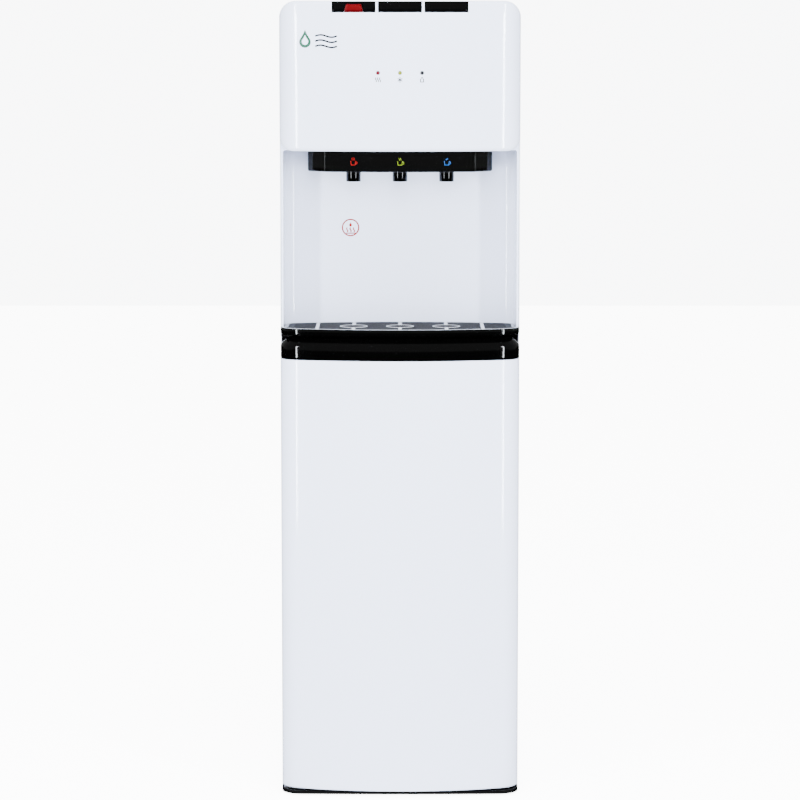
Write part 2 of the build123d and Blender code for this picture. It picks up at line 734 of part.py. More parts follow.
def drip_tray():
    """Removable tray: a band with a rim, a shallow front floor and a deep basin."""
    tray = tray_outline(0, TRAY_BOTTOM, TRAY_TOP)
    low = TRAY_BOTTOM - BASIN_DEPTH
    basin_y = (INNER_FRONT - 3, basin_back())
    tray += block((-BASIN_HALF, BASIN_HALF), basin_y, (low, TRAY_BOTTOM))
    tray -= tray_outline(GRILLE_MARGIN, TRAY_TOP - GRILLE_PLATE - REST_GAP, TRAY_TOP + 1)
    tray -= tray_outline(GRILLE_MARGIN + 4, TRAY_BOTTOM + TRAY_FLOOR, TRAY_TOP)
    inside = BASIN_HALF - TRAY_FLOOR
    inside_y = (basin_y[0] + TRAY_FLOOR, basin_y[1] - TRAY_FLOOR)
    return tray - block((-inside, inside), inside_y, (low + TRAY_FLOOR, TRAY_TOP))


def dish_places():
    """Plan places of the three dishes under the nozzles."""
    return [(x, NOZZLE_Y) for x in NOZZLES]


def drip_grille():
    """Grille in the tray: cross slots between front-to-back bars and three drain dishes."""
    low = TRAY_TOP - GRILLE_PLATE
    grille = tray_outline(GRILLE_MARGIN + MOVING_GAP, low, TRAY_TOP)
    slotted = tray_outline(GRILLE_MARGIN + 8, low - 1, TRAY_TOP + 1)
    depth = FRONT + RECESS_DEPTH
    rows = int(RECESS_DEPTH / SLOT_PITCH)
    slots = Part()
    for row in range(rows):
        y = depth - (row + 0.5) * SLOT_PITCH
        slots += block((-HALF, HALF), (y - SLOT_WIDTH / 2, y + SLOT_WIDTH / 2), (low - 1, TRAY_TOP + 1))
    for x in [-BAR_X, *NOZZLES, BAR_X]:
        slots -= block((x - BAR_WIDTH / 2, x + BAR_WIDTH / 2), (FRONT, depth), (low - 2, TRAY_TOP + 2))
    for x, y in dish_places():
        slots -= disc(DISH_RADIUS, x, y, low - 2, TRAY_TOP + 2)
    grille -= slots & slotted
    for x, y in dish_places():
        grille += disc(DISH_RADIUS, x, y, low, TRAY_TOP + DISH_RISE)
        bowl = Pos(x, y, TRAY_TOP + DISH_RISE - 1) * Cone(DISH_HOLE, DISH_RADIUS - 1.2, 2.0)
        grille -= bowl
        grille -= disc(DISH_HOLE, x, y, low - 1, TRAY_TOP)
        grille += block((x - DISH_HOLE - 1, x + DISH_HOLE + 1), (y - 1, y + 1), (low, TRAY_TOP - 1.2))
        grille += block((x - 1, x + 1), (y - DISH_HOLE - 1, y + DISH_HOLE + 1), (low, TRAY_TOP - 1.2))
    return grille


def tray_support():
    """Well that holds the tray: a floor, two side walls and a back wall."""
    x = INNER_X - SEAM
    wall_x = BASIN_HALF + 3
    back = FRONT + RECESS_DEPTH + PANEL_WALL
    floor = block((-x, x), (INNER_FRONT, back), (SUPPORT_TOP - SUPPORT_PLATE, SUPPORT_TOP))
    well_high = TRAY_BOTTOM - REST_GAP - STEEL_PLATE
    for side in (-1, 1):
        span = sorted((side * wall_x, side * (wall_x + PANEL_WALL)))
        floor += block(span, (INNER_FRONT, back), (SUPPORT_TOP, well_high))
    reach = wall_x + PANEL_WALL
    floor += block((-reach, reach), (back - PANEL_WALL, back), (SUPPORT_TOP, well_high))
    return floor


def compartment_ceiling():
    """Ceiling of the bottle bay, with a front upstand that meets the tray's well."""
    x = INNER_X - SEAM
    plate = block((-x, x), (INNER_FRONT, BACK_IN - SHEET - SEAM), (CEILING_BOTTOM, CEILING_TOP))
    upstand_z = (CEILING_TOP, SUPPORT_TOP - SUPPORT_PLATE)
    upstand = block((-x, x), (INNER_FRONT, INNER_FRONT + SUPPORT_PLATE), upstand_z)
    hose_hole = disc(TUBE_RADIUS + PRESS_CLEARANCE, PROBE_X, PROBE_Y, CEILING_BOTTOM - 1, CEILING_TOP + 1)
    return plate + upstand - hose_hole


# ---------------------------------------------------------------- bottle bay

def bottle_platform():
    """Platform with a round dish that centres the bottle."""
    middle = (INNER_FRONT + BACK_IN) / 2
    half_y = (BACK_IN - INNER_FRONT) / 2 - 5
    half_x = INNER_X - 5
    dish = min(BOTTLE_DISH, half_x - DISH_BORDER, half_y - DISH_BORDER)
    plate = block((-half_x, half_x), (middle - half_y, middle + half_y), (BASE_DECK, BASE_DECK + PLATFORM))
    return plate - disc(dish, 0, middle, BASE_DECK + PLATFORM_FLOOR, BASE_DECK + PLATFORM + 1)


def probe_holder():
    """Clip on the back that the bottle probe hangs in."""
    low = HOLDER_TOP - HOLDER_HEIGHT
    x = (PROBE_X - PROBE_RADIUS - 5, INNER_X)
    y = (PROBE_Y - PROBE_RADIUS - 5, BACK_IN - SHEET)
    clip = block(x, y, (low, HOLDER_TOP))
    return clip - disc(PROBE_RADIUS + MOVING_GAP, PROBE_X, PROBE_Y, low - 1, HOLDER_TOP + 1)


def bottle_probe():
    """Suction probe: a long rod with a cap and a hose nipple, hollow all the way."""
    cap_low = HOLDER_TOP + REST_GAP
    probe = disc(PROBE_RADIUS, PROBE_X, PROBE_Y, cap_low - PROBE_LENGTH, cap_low)
    probe += disc(PROBE_HEAD, PROBE_X, PROBE_Y, cap_low, cap_low + PROBE_HEAD_HEIGHT)
    probe += disc(PROBE_NIPPLE, PROBE_X, PROBE_Y, cap_low, PROBE_TOP)
    return probe - disc(PROBE_NIPPLE / 2, PROBE_X, PROBE_Y, cap_low - PROBE_LENGTH - 1, PROBE_TOP + 1)


def probe_hose():
    """Soft hose from the probe's nipple up to the ceiling."""
    hose = disc(PROBE_HOSE_RADIUS, PROBE_X, PROBE_Y, PROBE_TOP, CEILING_BOTTOM)
    return hose - disc(PROBE_NIPPLE / 2, PROBE_X, PROBE_Y, PROBE_TOP - 1, CEILING_BOTTOM + 1)


# ---------------------------------------------------------------- door

def door_skin():
    """Bowed outer door: a front with side returns and closed ends, open behind."""
    top = TRIM_BOTTOM - SEAM
    skin = prism(front_plan(0, DOOR_BACK), DOOR_BOTTOM, top)
    skin -= prism(front_plan(PANEL_WALL, DOOR_BACK + 1), DOOR_BOTTOM + PANEL_WALL, top - PANEL_WALL)
    bore_z = (DOOR_BOTTOM - 1, DOOR_BOTTOM + PANEL_WALL + 1)
    return skin - disc(PIN_RADIUS + PIN_CLEARANCE, HINGE_X, HINGE_Y, *bore_z)


def door_liner():
    """Inner door panel: a flange with a shallow recess and a column for the lower hinge pin."""
    x = HALF - PANEL_WALL - PRESS_CLEARANCE
    low = DOOR_BOTTOM + PANEL_WALL + PRESS_CLEARANCE
    high = TRIM_BOTTOM - SEAM - PANEL_WALL - PRESS_CLEARANCE
    liner = block((-x, x), (DOOR_BACK - PANEL_WALL, DOOR_BACK), (low, high))
    recess_x = x - LINER_BORDER
    recess_z = (low + LINER_BORDER, high - LINER_BORDER)
    front = DOOR_BACK - PANEL_WALL - LINER_RECESS
    liner += block((-recess_x, recess_x), (front, DOOR_BACK), recess_z)
    wall = PANEL_WALL
    cavity_z = (recess_z[0] + wall, recess_z[1] - wall)
    liner -= block((wall - recess_x, recess_x - wall), (front + wall, DOOR_BACK + 1), cavity_z)
    liner += disc(BOSS_RADIUS, HINGE_X, HINGE_Y, low, low + BOSS_HEIGHT)
    strut = (HINGE_Y, DOOR_BACK - PANEL_WALL / 2)
    liner += block((HINGE_X - 1.5, HINGE_X + 1.5), strut, (low, low + BOSS_HEIGHT))
    return liner - disc(PIN_RADIUS + PIN_CLEARANCE, HINGE_X, HINGE_Y, low - 1, low + BOSS_HEIGHT - 3)


def door_top_trim():
    """Black top of the door: an upright face, a slope up to a lip and a finger channel behind it."""
    trim = prism(front_plan(0, DOOR_BACK), TRIM_BOTTOM, DOOR_TOP)
    slope_edges = trim.faces().sort_by(Axis.Z)[-1].edges().sort_by(Axis.Y)[:-1]
    trim = chamfer(slope_edges, TRIM_HEIGHT - TRIM_FACE, TRIM_SLOPE)
    channel_front = TRIM_SLOPE + LIP_WALL
    floor = DOOR_TOP - CHANNEL_DEPTH
    channel = prism(front_plan(channel_front, DOOR_BACK), floor, DOOR_TOP + 1)
    channel -= prism(front_plan(channel_front + CHANNEL_WIDTH, DOOR_BACK), floor, DOOR_TOP + 1)
    trim -= channel & block((-CHANNEL_HALF, CHANNEL_HALF), (FRONT, DOOR_BACK), (floor, DOOR_TOP + 1))
    hollow_z = (TRIM_BOTTOM - 1, floor - COVER_WALL)
    hollow = prism(front_plan(COVER_WALL, DOOR_BACK), *hollow_z)
    hollow &= block((-HALF, HALF), (FRONT, DOOR_BACK - COVER_WALL), hollow_z)
    trim -= hollow - disc(BOSS_RADIUS + COVER_WALL, HINGE_X, HINGE_Y, TRIM_BOTTOM - 1, floor)
    return trim - disc(PIN_RADIUS + PIN_CLEARANCE, HINGE_X, HINGE_Y, DOOR_TOP - PIN_LENGTH, DOOR_TOP + 1)


def top_hinge_bracket():
    """Upper hinge: an angle on the side panel with a pin down into the door's trim."""
    low = DOOR_TOP + MOVING_GAP
    high = low + STEEL_PLATE
    outer = -INNER_X
    tongue_right = HINGE_X + PIN_RADIUS + 2
    plate_front = HINGE_Y - PIN_RADIUS - 3
    plate_back = INNER_FRONT + 40
    bracket = block((outer, tongue_right), (plate_front, LOWER_FRONT), (low, high))
    bracket += block((outer, HINGE_X - PIN_RADIUS), (LOWER_FRONT - 1, plate_back), (low, high))
    bracket += block((outer, outer + STEEL_PLATE), (LOWER_FRONT + 1, plate_back), (low - 14, high))
    return bracket + disc(PIN_RADIUS, HINGE_X, HINGE_Y, DOOR_TOP - PIN_LENGTH + 1, high)


def bottom_hinge_bracket():
    """Lower hinge: a plate on the base with a pin up into the door."""
    high = BASE_TOP + 1.5
    plate_x = (HINGE_X - 9, HINGE_X + 14)
    bracket = block(plate_x, (HINGE_Y - 9, INNER_FRONT - REST_GAP), (BASE_TOP, high))
    return bracket + disc(PIN_RADIUS, HINGE_X, HINGE_Y, BASE_TOP, DOOR_BOTTOM + PANEL_WALL + PIN_LENGTH)


def door_catch():
    """Magnetic catch under the ceiling's front edge, on the side away from the hinge."""
    x = (INNER_X - 45, INNER_X - 15)
    catch = block(x, (INNER_FRONT, INNER_FRONT + 14), (CEILING_BOTTOM - 11, CEILING_BOTTOM))
    magnet_y = (DOOR_BACK + REST_GAP, INNER_FRONT)
    return catch + block((x[0] + 3, x[1] - 3), magnet_y, (CEILING_BOTTOM - 9, CEILING_BOTTOM - 3))


# ---------------------------------------------------------------- tanks and cooling

def drum(radius, low, high, x, y):
    """Upright drum with rounded ends."""
    body = disc(radius, x, y, low, high)
    return fillet(body.edges().filter_by(GeomType.CIRCLE), min(radius, high - low) / 5)


def cold_tank():
    """Stainless cold tank: a drum with three outlet stubs and a filler stub on top."""
    tank = drum(COLD_RADIUS, COLD_LOW, COLD_HIGH, 0, TANK_Y)
    for x, y in COLD_STUBS:
        tank += disc(TUBE_RADIUS, x, y, COLD_HIGH - 2, FOAM_HIGH + STUB_RISE)
    tank -= drum(COLD_RADIUS - TANK_WALL, COLD_LOW + TANK_WALL, COLD_HIGH - TANK_WALL, 0, TANK_Y)
    for x, y in COLD_STUBS:
        tank -= disc(TUBE_BORE, x, y, COLD_HIGH - 3, FOAM_HIGH + STUB_RISE + 1)
    return tank


def cold_foam():
    """Foam jacket round the cold tank, cut out behind for the cold block."""
    foam = disc(FOAM_RADIUS, 0, TANK_Y, FOAM_LOW, FOAM_HIGH)
    foam -= drum(COLD_RADIUS, COLD_LOW, COLD_HIGH, 0, TANK_Y)
    half = PELTIER_SIZE / 2 + PRESS_CLEARANCE
    foam -= block((-half, half), (TANK_Y, REAR), (FAN_Z - half, FAN_Z + half))
    for x, y in COLD_STUBS:
        foam -= disc(TUBE_RADIUS + PRESS_CLEARANCE, x, y, COLD_HIGH - 3, FOAM_HIGH + 1)
    return foam


def peltier_module():
    """Cold block on the tank's wall and the cooling element behind it, as two solids."""
    half = PELTIER_SIZE / 2
    cold_block = block((-half, half), (TANK_Y, PELTIER_Y), (FAN_Z - half, FAN_Z + half))
    cold_block -= disc(COLD_RADIUS + PRESS_CLEARANCE, 0, TANK_Y, COLD_LOW, COLD_HIGH)
    rim = half - 1
    element = block((-rim, rim), (PELTIER_Y, SINK_Y), (FAN_Z - rim, FAN_Z + rim))
    return cold_block + element


def heat_sink():
    """Finned aluminium heat sink behind the cooling element."""
    half = SINK_SIZE / 2
    sink = block((-half, half), (SINK_Y, SINK_Y + SINK_BASE), (FAN_Z - half, FAN_Z + half))
    fins = int((SINK_SIZE - SINK_FIN) / SINK_FIN_PITCH) + 1
    for fin in range(fins):
        x = (fin - (fins - 1) / 2) * SINK_FIN_PITCH
        fin_y = (SINK_Y, SINK_Y + SINK_DEPTH)
        sink += block((x - SINK_FIN / 2, x + SINK_FIN / 2), fin_y, (FAN_Z - half, FAN_Z + half))
    return sink


def fan_frame():
    """Square fan frame with a round duct, a hub plate and four struts."""
    half = FAN_SIZE / 2
    frame = block((-half, half), (FAN_Y, FAN_Y + FAN_DEPTH), (FAN_Z - half, FAN_Z + half))
    frame -= bar(half - 2, (0, FAN_Y - 1, FAN_Z), (0, FAN_Y + FAN_DEPTH + 1, FAN_Z))
    plate = 2.0
    frame += bar(half / 3, (0, FAN_Y, FAN_Z), (0, FAN_Y + plate, FAN_Z))
    frame += block((-half + 1, half - 1), (FAN_Y, FAN_Y + plate), (FAN_Z - 2, FAN_Z + 2))
    frame += block((-2, 2), (FAN_Y, FAN_Y + plate), (FAN_Z - half + 1, FAN_Z + half - 1))
    return frame + bar(2, (0, FAN_Y, FAN_Z), (0, FAN_Y + FAN_DEPTH - 5, FAN_Z))


def fan_rotor():
    """Fan rotor: a cupped hub with seven pitched blades."""
    start = FAN_Y + 3
    end = FAN_Y + FAN_DEPTH - 2
    hub_radius = FAN_SIZE / 6
    tip = FAN_SIZE / 2 - 4
    blades = Part()
    for blade in range(7):
        middle = (start + end) / 2
        place = Pos(0, middle, (hub_radius + tip) / 2 - 1)
        plate = place * Rot(0, 0, 38) * Box(18, 1.4, tip - hub_radius + 2)
        blades += Pos(0, 0, FAN_Z) * Rot(0, blade * 360 / 7, 0) * plate
    rotor = blades & bar(tip, (0, start, FAN_Z), (0, end, FAN_Z))
    rotor += bar(hub_radius, (0, start, FAN_Z), (0, end, FAN_Z))
    return rotor - bar(2 + PIN_CLEARANCE, (0, start - 1, FAN_Z), (0, end - 2, FAN_Z))


def hot_tank():
    """Stainless hot tank with a heater flange below and a side outlet."""
    tank = drum(HOT_TANK_RADIUS, HOT_LOW, HOT_HIGH, 0, TANK_Y)
    tank += disc(HOT_TANK_RADIUS / 2, 0, TANK_Y, HOT_LOW - HOT_FOAM - 3, HOT_LOW + 1)
    tank += bar(TUBE_RADIUS, (0, TANK_Y, HOT_OUTLET_Z), (HOT_OUTLET_X, TANK_Y, HOT_OUTLET_Z))
    for x in SPOUTS:
        tank += bar(TUBE_RADIUS, (x, TANK_Y, SPOUT_Z), (x, SPOUT_JOIN_Y, SPOUT_Z))
    tank -= drum(HOT_TANK_RADIUS - TANK_WALL, HOT_LOW + TANK_WALL, HOT_HIGH - TANK_WALL, 0, TANK_Y)
    return tank


def hot_foam():
    """Insulating jacket round the hot tank."""
    jacket = disc(HOT_TANK_RADIUS + HOT_FOAM, 0, TANK_Y, HOT_LOW - HOT_FOAM, HOT_HIGH + HOT_FOAM)
    jacket -= drum(HOT_TANK_RADIUS, HOT_LOW, HOT_HIGH, 0, TANK_Y)
    jacket -= disc(HOT_TANK_RADIUS / 2 + PRESS_CLEARANCE, 0, TANK_Y, HOT_LOW - HOT_FOAM - 1, HOT_LOW + 2)
    hole = TUBE_RADIUS + PRESS_CLEARANCE
    jacket -= bar(hole, (0, TANK_Y, HOT_OUTLET_Z), (HOT_OUTLET_X, TANK_Y, HOT_OUTLET_Z))
    for x in SPOUTS:
        jacket -= bar(hole, (x, TANK_Y, SPOUT_Z), (x, SPOUT_JOIN_Y, SPOUT_Z))
    return jacket


def tank_shelf():
    """Shelf between the side panels that carries the cold tank."""
    x = INNER_X - SEAM
    y = (FRONT + RECESS_DEPTH + PANEL_WALL + 2, SINK_Y)
    shelf = block((-x, x), y, (FOAM_LOW - STEEL_PLATE, FOAM_LOW))
    for side in (-1, 1):
        span = sorted((side * x, side * (x - STEEL_PLATE)))
        shelf += block(span, y, (FOAM_LOW - 15, FOAM_LOW))
    hole = 3 * TUBE_RADIUS
    levels = (FOAM_LOW - 20, FOAM_LOW + 1)
    shelf -= block((PUMP_X - hole, PUMP_X + hole), (PUMP_Y - hole, PUMP_Y + hole), levels)
    hot_x = -FOAM_RADIUS - 2 * TUBE_RADIUS
    return shelf - block((hot_x - hole, hot_x + hole), (TANK_Y - hole, TANK_Y + hole), levels)


def tube(points, radius):
    """Soft tube along a route of straight runs joined by arcs."""
    path = FilletPolyline(*points, radius=radius)
    start = Plane(origin=path @ 0, z_dir=path % 0)
    section = start * (Circle(TUBE_RADIUS) - Circle(TUBE_BORE))
    return sweep(section, path=path)


def water_tubes():
    """Soft tubes: suction to the pump, pump to the cold tank, and tanks to the valves."""
    bend = 12.0
    port_z = VALVE_Z + VALVE_PORT
    over_z = FOAM_HIGH + STUB_RISE + 14
    stub_z = FOAM_HIGH + STUB_RISE
    lift_y = PORT_Y + 26
    tubes = Part()
    for index in (1, 2):
        x, y = COLD_STUBS[index]
        valve_x = NOZZLES[index]
        route = [
            (valve_x, PORT_Y, port_z), (valve_x, lift_y, port_z), (valve_x, lift_y, over_z),
            (x, y, over_z), (x, y, stub_z),
        ]
        tubes += tube(route, bend)
    hot_x = NOZZLES[0]
    far_x = -FOAM_RADIUS - 2 * TUBE_RADIUS
    hot_route = [
        (hot_x, PORT_Y, port_z), (hot_x, lift_y - 4, port_z), (far_x, TANK_Y - 30, port_z),
        (far_x, TANK_Y, port_z - 32), (far_x, TANK_Y, HOT_OUTLET_Z), (HOT_OUTLET_X, TANK_Y, HOT_OUTLET_Z),
    ]
    tubes += tube(hot_route, bend)
    feed_x, feed_y = COLD_STUBS[0]
    pump_top = PUMP_LOW + PUMP_HEIGHT
    feed = [
        (PUMP_X, PUMP_Y, pump_top), (PUMP_X, PUMP_Y, over_z),
        (feed_x, feed_y, over_z), (feed_x, feed_y, stub_z),
    ]
    tubes += tube(feed, bend)
    suction_z = PUMP_LOW + 22
    suction = [
        (PROBE_X, PROBE_Y, CEILING_BOTTOM), (PROBE_X, PROBE_Y, suction_z),
        (PROBE_X, PUMP_Y + PUMP_RADIUS, suction_z),
    ]
    return tubes + tube(suction, bend)


def water_pump():
    """Diaphragm pump: a motor drum on a mounting foot, with an inlet at the back."""
    foot_x = (PUMP_X - PUMP_RADIUS, PROBE_X + 8)
    pump = block(foot_x, (PUMP_Y - PUMP_RADIUS, PUMP_Y + PUMP_RADIUS), (CEILING_TOP, PUMP_LOW))
    pump += disc(PUMP_RADIUS, PUMP_X, PUMP_Y, PUMP_LOW, PUMP_LOW + PUMP_HEIGHT - 10)
    head_y = (PUMP_Y, PUMP_Y + PUMP_RADIUS)
    pump += block((PUMP_X, PROBE_X + 8), head_y, (PUMP_LOW, PUMP_LOW + 34))
    return pump + disc(TUBE_RADIUS + 1, PUMP_X, PUMP_Y, PUMP_LOW, PUMP_LOW + PUMP_HEIGHT)


def power_board():
    """Power and control board on the left side panel, with its larger components."""
    wall = -INNER_X
    board_x = (wall + 8, wall + 8 + BOARD)
    low = HOT_LOW
    board = block(board_x, (TANK_Y + 10, TANK_Y + 110), (low, low + 90))
    top = board_x[1]
    board += block((top, top + 22), (TANK_Y + 60, TANK_Y + 92), (low + 10, low + 38))
    board += block((top, top + 12), (TANK_Y + 62, TANK_Y + 78), (low + 50, low + 72))
    board += bar(6, (top, TANK_Y + 100, low + 60), (top + 16, TANK_Y + 100, low + 60))
    for y in (TANK_Y + 16, TANK_Y + 104):
        for z in (low + 6, low + 84):
            board += bar(3, (wall, y, z), (board_x[0], y, z))
    return board


# ---------------------------------------------------------------- rear services

def switch_window(gap):
    """Opening of the switch plate's body in the back."""
    half_x = SWITCH_PLATE_WIDTH / 2 - 4 - gap
    half_z = SWITCH_PLATE_HEIGHT / 2 - 4 - gap
    y = (BACK_IN - 10, REAR)
    return block((SWITCH_X - half_x, SWITCH_X + half_x), y, (SWITCH_Z - half_z, SWITCH_Z + half_z))


def rocker_centres():
    """Heights of the two rocker switches."""
    return [SWITCH_Z + ROCKER_PITCH / 2, SWITCH_Z - ROCKER_PITCH / 2]


def rocker_window(z, gap):
    """Window of one rocker, grown by gap."""
    half_x = ROCKER_WIDTH / 2 + gap
    half_z = ROCKER_HEIGHT / 2 + gap
    y = (BACK_IN - 7, REAR)
    return block((SWITCH_X - half_x, SWITCH_X + half_x), y, (z - half_z, z + half_z))


def switch_plate():
    """Bezel with a body behind it that holds the two rockers."""
    half_x = SWITCH_PLATE_WIDTH / 2
    half_z = SWITCH_PLATE_HEIGHT / 2
    face = (BACK_OUT, BACK_OUT + SWITCH_PLATE_WALL)
    plate = block((SWITCH_X - half_x, SWITCH_X + half_x), face, (SWITCH_Z - half_z, SWITCH_Z + half_z))
    body = switch_window(PRESS_CLEARANCE) & block((-HALF, HALF), (0, BACK_OUT), (0, HEIGHT))
    plate += body
    for z in rocker_centres():
        plate -= rocker_window(z, MOVING_GAP)
        pin = ROCKER_WIDTH / 2 + 1
        plate -= bar(1 + PIN_CLEARANCE, (SWITCH_X - pin, ROCKER_Y, z), (SWITCH_X + pin, ROCKER_Y, z))
    return plate


def rocker(z):
    """One rocker, tipped to its off side, with stub pins."""
    half_x = ROCKER_WIDTH / 2
    half_z = ROCKER_HEIGHT / 2 - 0.6
    body = bar(ROCKER_RADIUS, (SWITCH_X - half_x, ROCKER_Y, z), (SWITCH_X + half_x, ROCKER_Y, z))
    span_x = (SWITCH_X - half_x, SWITCH_X + half_x)
    body &= block(span_x, (ROCKER_Y - 2.5, ROCKER_Y + 6), (z - half_z, z + half_z))
    hollow = Pos(SWITCH_X, ROCKER_Y + 15, z) * Rot(0, 90, 0) * Cylinder(11.5, ROCKER_WIDTH + 2)
    body -= hollow
    pin = half_x + 0.9
    body += bar(1, (SWITCH_X - pin, ROCKER_Y, z), (SWITCH_X + pin, ROCKER_Y, z))
    pivot = Pos(SWITCH_X, ROCKER_Y, z)
    return pivot * Rot(ROCKER_TILT, 0, 0) * pivot.inverse() * body


def drain_spouts():
    """Threaded drain spouts through the back, closed by the caps."""
    spouts = Part()
    for x in SPOUTS:
        spout = bar(SPOUT_RADIUS, (x, SPOUT_JOIN_Y, SPOUT_Z), (x, REAR - CAP_WALL - REST_GAP, SPOUT_Z))
        spout += bar(SPOUT_RADIUS + 3, (x, BACK_IN - 3, SPOUT_Z), (x, BACK_IN, SPOUT_Z))
        spouts += spout - bar(SPOUT_BORE, (x, SPOUT_JOIN_Y, SPOUT_Z), (x, REAR, SPOUT_Z))
    return spouts


def drain_cap(x):
    """Screw cap of one drain spout, with grip ribs."""
    cap = bar(CAP_RADIUS - 1, (x, BACK_OUT + CAP_GAP, SPOUT_Z), (x, REAR, SPOUT_Z))
    for rib in range(12):
        grip = Pos(x, 0, SPOUT_Z) * Rot(0, rib * 30, 0) * Pos(CAP_RADIUS - 1, 0, 0)
        rib_y = (BACK_OUT + CAP_GAP, REAR - 1)
        cap += grip * block((-1, 1), rib_y, (-1, 1))
    return cap - bar(SPOUT_RADIUS + MOVING_GAP / 4, (x, 0, SPOUT_Z), (x, REAR - CAP_WALL, SPOUT_Z))


def cord_gland():
    """Round gland in the back that the mains lead passes through."""
    centre = (GLAND_X, BACK_OUT, GLAND_HEIGHT)
    inner = (GLAND_X, BACK_OUT - GLAND_INSIDE, GLAND_HEIGHT)
    outer = (GLAND_X, BACK_OUT + GLAND_OUTSIDE, GLAND_HEIGHT)
    return bar(GLAND_RADIUS, inner, outer) + bar(GLAND_FLANGE, centre, outer) - bar(GLAND_BORE, inner, outer)


# Places worked out from the sizes above
SHAFT_Y = FRONT + NOTCH_DEPTH - MOVING_GAP - LUG_RADIUS
SHAFT_Z = HEIGHT - SHAFT_DROP
CARRIER_TOP = HEIGHT - CARRIER_DROP
CARRIER_POSTS = [-KEY_PITCH * 1.5 - 12, KEY_PITCH * 1.5 + 12]
CARRIER_POST_Y = FRONT + 30
SPRING_Y = FRONT + 24
SPRING_SIDE = 14.0
LOCK_FACE_Y = bow_depth(KEY_PITCH) - FRONT
LED_Z = HEIGHT - LED_DROP
BOARD_Y = FRONT + BOARD_DEPTH
FASCIA_BOTTOM = HEAD_BOTTOM - FASCIA_HEIGHT
NOZZLES = [-NOZZLE_PITCH, 0.0, NOZZLE_PITCH]
NOZZLE_Y = FRONT + NOZZLE_SETBACK
VALVE_Z = HEAD_BOTTOM + VALVE_LOW
PORT_Y = NOZZLE_Y + VALVE_RADIUS + 10
PROBE_X = INNER_X - PROBE_WALL_GAP
PROBE_Y = BACK_IN - PROBE_WALL_GAP
PROBE_TOP = CEILING_BOTTOM - PROBE_HOSE_RUN
HOLDER_TOP = PROBE_TOP - PROBE_NIPPLE_HEIGHT - PROBE_HEAD_HEIGHT - REST_GAP
FAN_Y = BACK_IN - 1 - FAN_DEPTH
SINK_Y = FAN_Y - 0.5 - SINK_DEPTH
PELTIER_Y = SINK_Y - PELTIER_DEPTH
TANK_FRONT = FRONT + RECESS_DEPTH + PANEL_WALL + TANK_GAP
FOAM_RADIUS = (PELTIER_Y - TANK_FRONT) / 2
COLD_RADIUS = FOAM_RADIUS - FOAM_WALL
TANK_Y = TANK_FRONT + FOAM_RADIUS
HOT_LOW = CEILING_TOP + HOT_STAND + HOT_FOAM
HOT_HIGH = HOT_LOW + HOT_TANK_HEIGHT
HOT_OUTLET_Z = HOT_HIGH - 30
HOT_OUTLET_X = -HOT_TANK_RADIUS - HOT_FOAM - 8
SPOUT_Z = HOT_LOW + 15
SPOUTS = [-SPOUT_SPREAD / 2, SPOUT_SPREAD / 2]
SPOUT_JOIN_Y = BACK_IN - 30
FOAM_LOW = HOT_HIGH + HOT_FOAM + SHELF_GAP
FOAM_HIGH = HEIGHT - COLD_TOP_DROP
COLD_LOW = FOAM_LOW + FOAM_WALL
COLD_HIGH = FOAM_HIGH - FOAM_WALL
STUB_RISE = 6.0
FAN_Z = (FOAM_LOW + FOAM_HIGH) / 2
COLD_STUBS = [(30.0, TANK_Y + 30), (0.0, TANK_Y - 20), (35.0, TANK_Y - 20)]
PUMP_RADIUS = 20.0
PUMP_X = INNER_X - 50
PUMP_Y = PROBE_Y - 60
PUMP_LOW = CEILING_TOP + 6
PUMP_HEIGHT = 74.0
GLAND_X = HALF - GLAND_FROM_SIDE
SWITCH_X = HALF - SWITCH_FROM_SIDE
SWITCH_Z = HEIGHT - SWITCH_DROP
ROCKER_Y = BACK_OUT - 2

save("base_plinth", base_plinth())
save("feet", feet())
save("side_panel_left", side_panel(-1))
save("side_panel_right", side_panel(1))
save("back_panel", back_panel())
save("rear_grille", rear_grille())
save("top_cover", top_cover())
save("cabinet_screws", cabinet_screws())
save("head_cover", head_cover())
save("hot_button", hot_button())
for name, centre in list(zip(KEY_NAMES, KEY_CENTRES))[1:]:
    save(f"{name}_button", key(centre))
for name, centre in zip(KEY_NAMES, KEY_CENTRES):
    save(f"{name}_button_spring", button_spring(centre))
save("child_lock", child_lock())
save("button_carrier", button_carrier())
save("button_shaft", button_shaft())
save("button_switches", button_switches())
save("indicator_board", indicator_board())
for name, x in zip(("hot", "cold", "empty"), led_places()):
    save(f"{name}_indicator", indicator(x))
save("tap_housing", tap_housing())
save("tap_lens", tap_lens())
save("nozzles", nozzle(NOZZLES[0]) + nozzle(NOZZLES[1]) + nozzle(NOZZLES[2]))
save("dispensing_valves", dispensing_valves())
save("splash_panel", splash_panel())
save("drip_tray", drip_tray())
save("drip_grille", drip_grille())
save("tray_support", tray_support())
save("compartment_ceiling", compartment_ceiling())
save("bottle_platform", bottle_platform())
save("probe_holder", probe_holder())
save("bottle_probe", bottle_probe())
save("probe_hose", probe_hose())
save("door_skin", door_skin())
save("door_liner", door_liner())
save("door_top_trim", door_top_trim())
save("top_hinge_bracket", top_hinge_bracket())
save("bottom_hinge_bracket", bottom_hinge_bracket())
save("door_catch", door_catch())
save("cold_tank", cold_tank())
save("tank_insulation", cold_foam() + hot_foam())
save("peltier_module", peltier_module())
save("heat_sink", heat_sink())
save("fan_frame", fan_frame())
save("fan_rotor", fan_rotor())
save("hot_tank", hot_tank())
save("tank_shelf", tank_shelf())
save("water_tubes", water_tubes())
save("water_pump", water_pump())
save("power_board", power_board())
save("switch_plate", switch_plate())
for name, z in zip(("hot", "cold"), rocker_centres()):
    save(f"{name}_switch", rocker(z))
save("drain_spouts", drain_spouts())
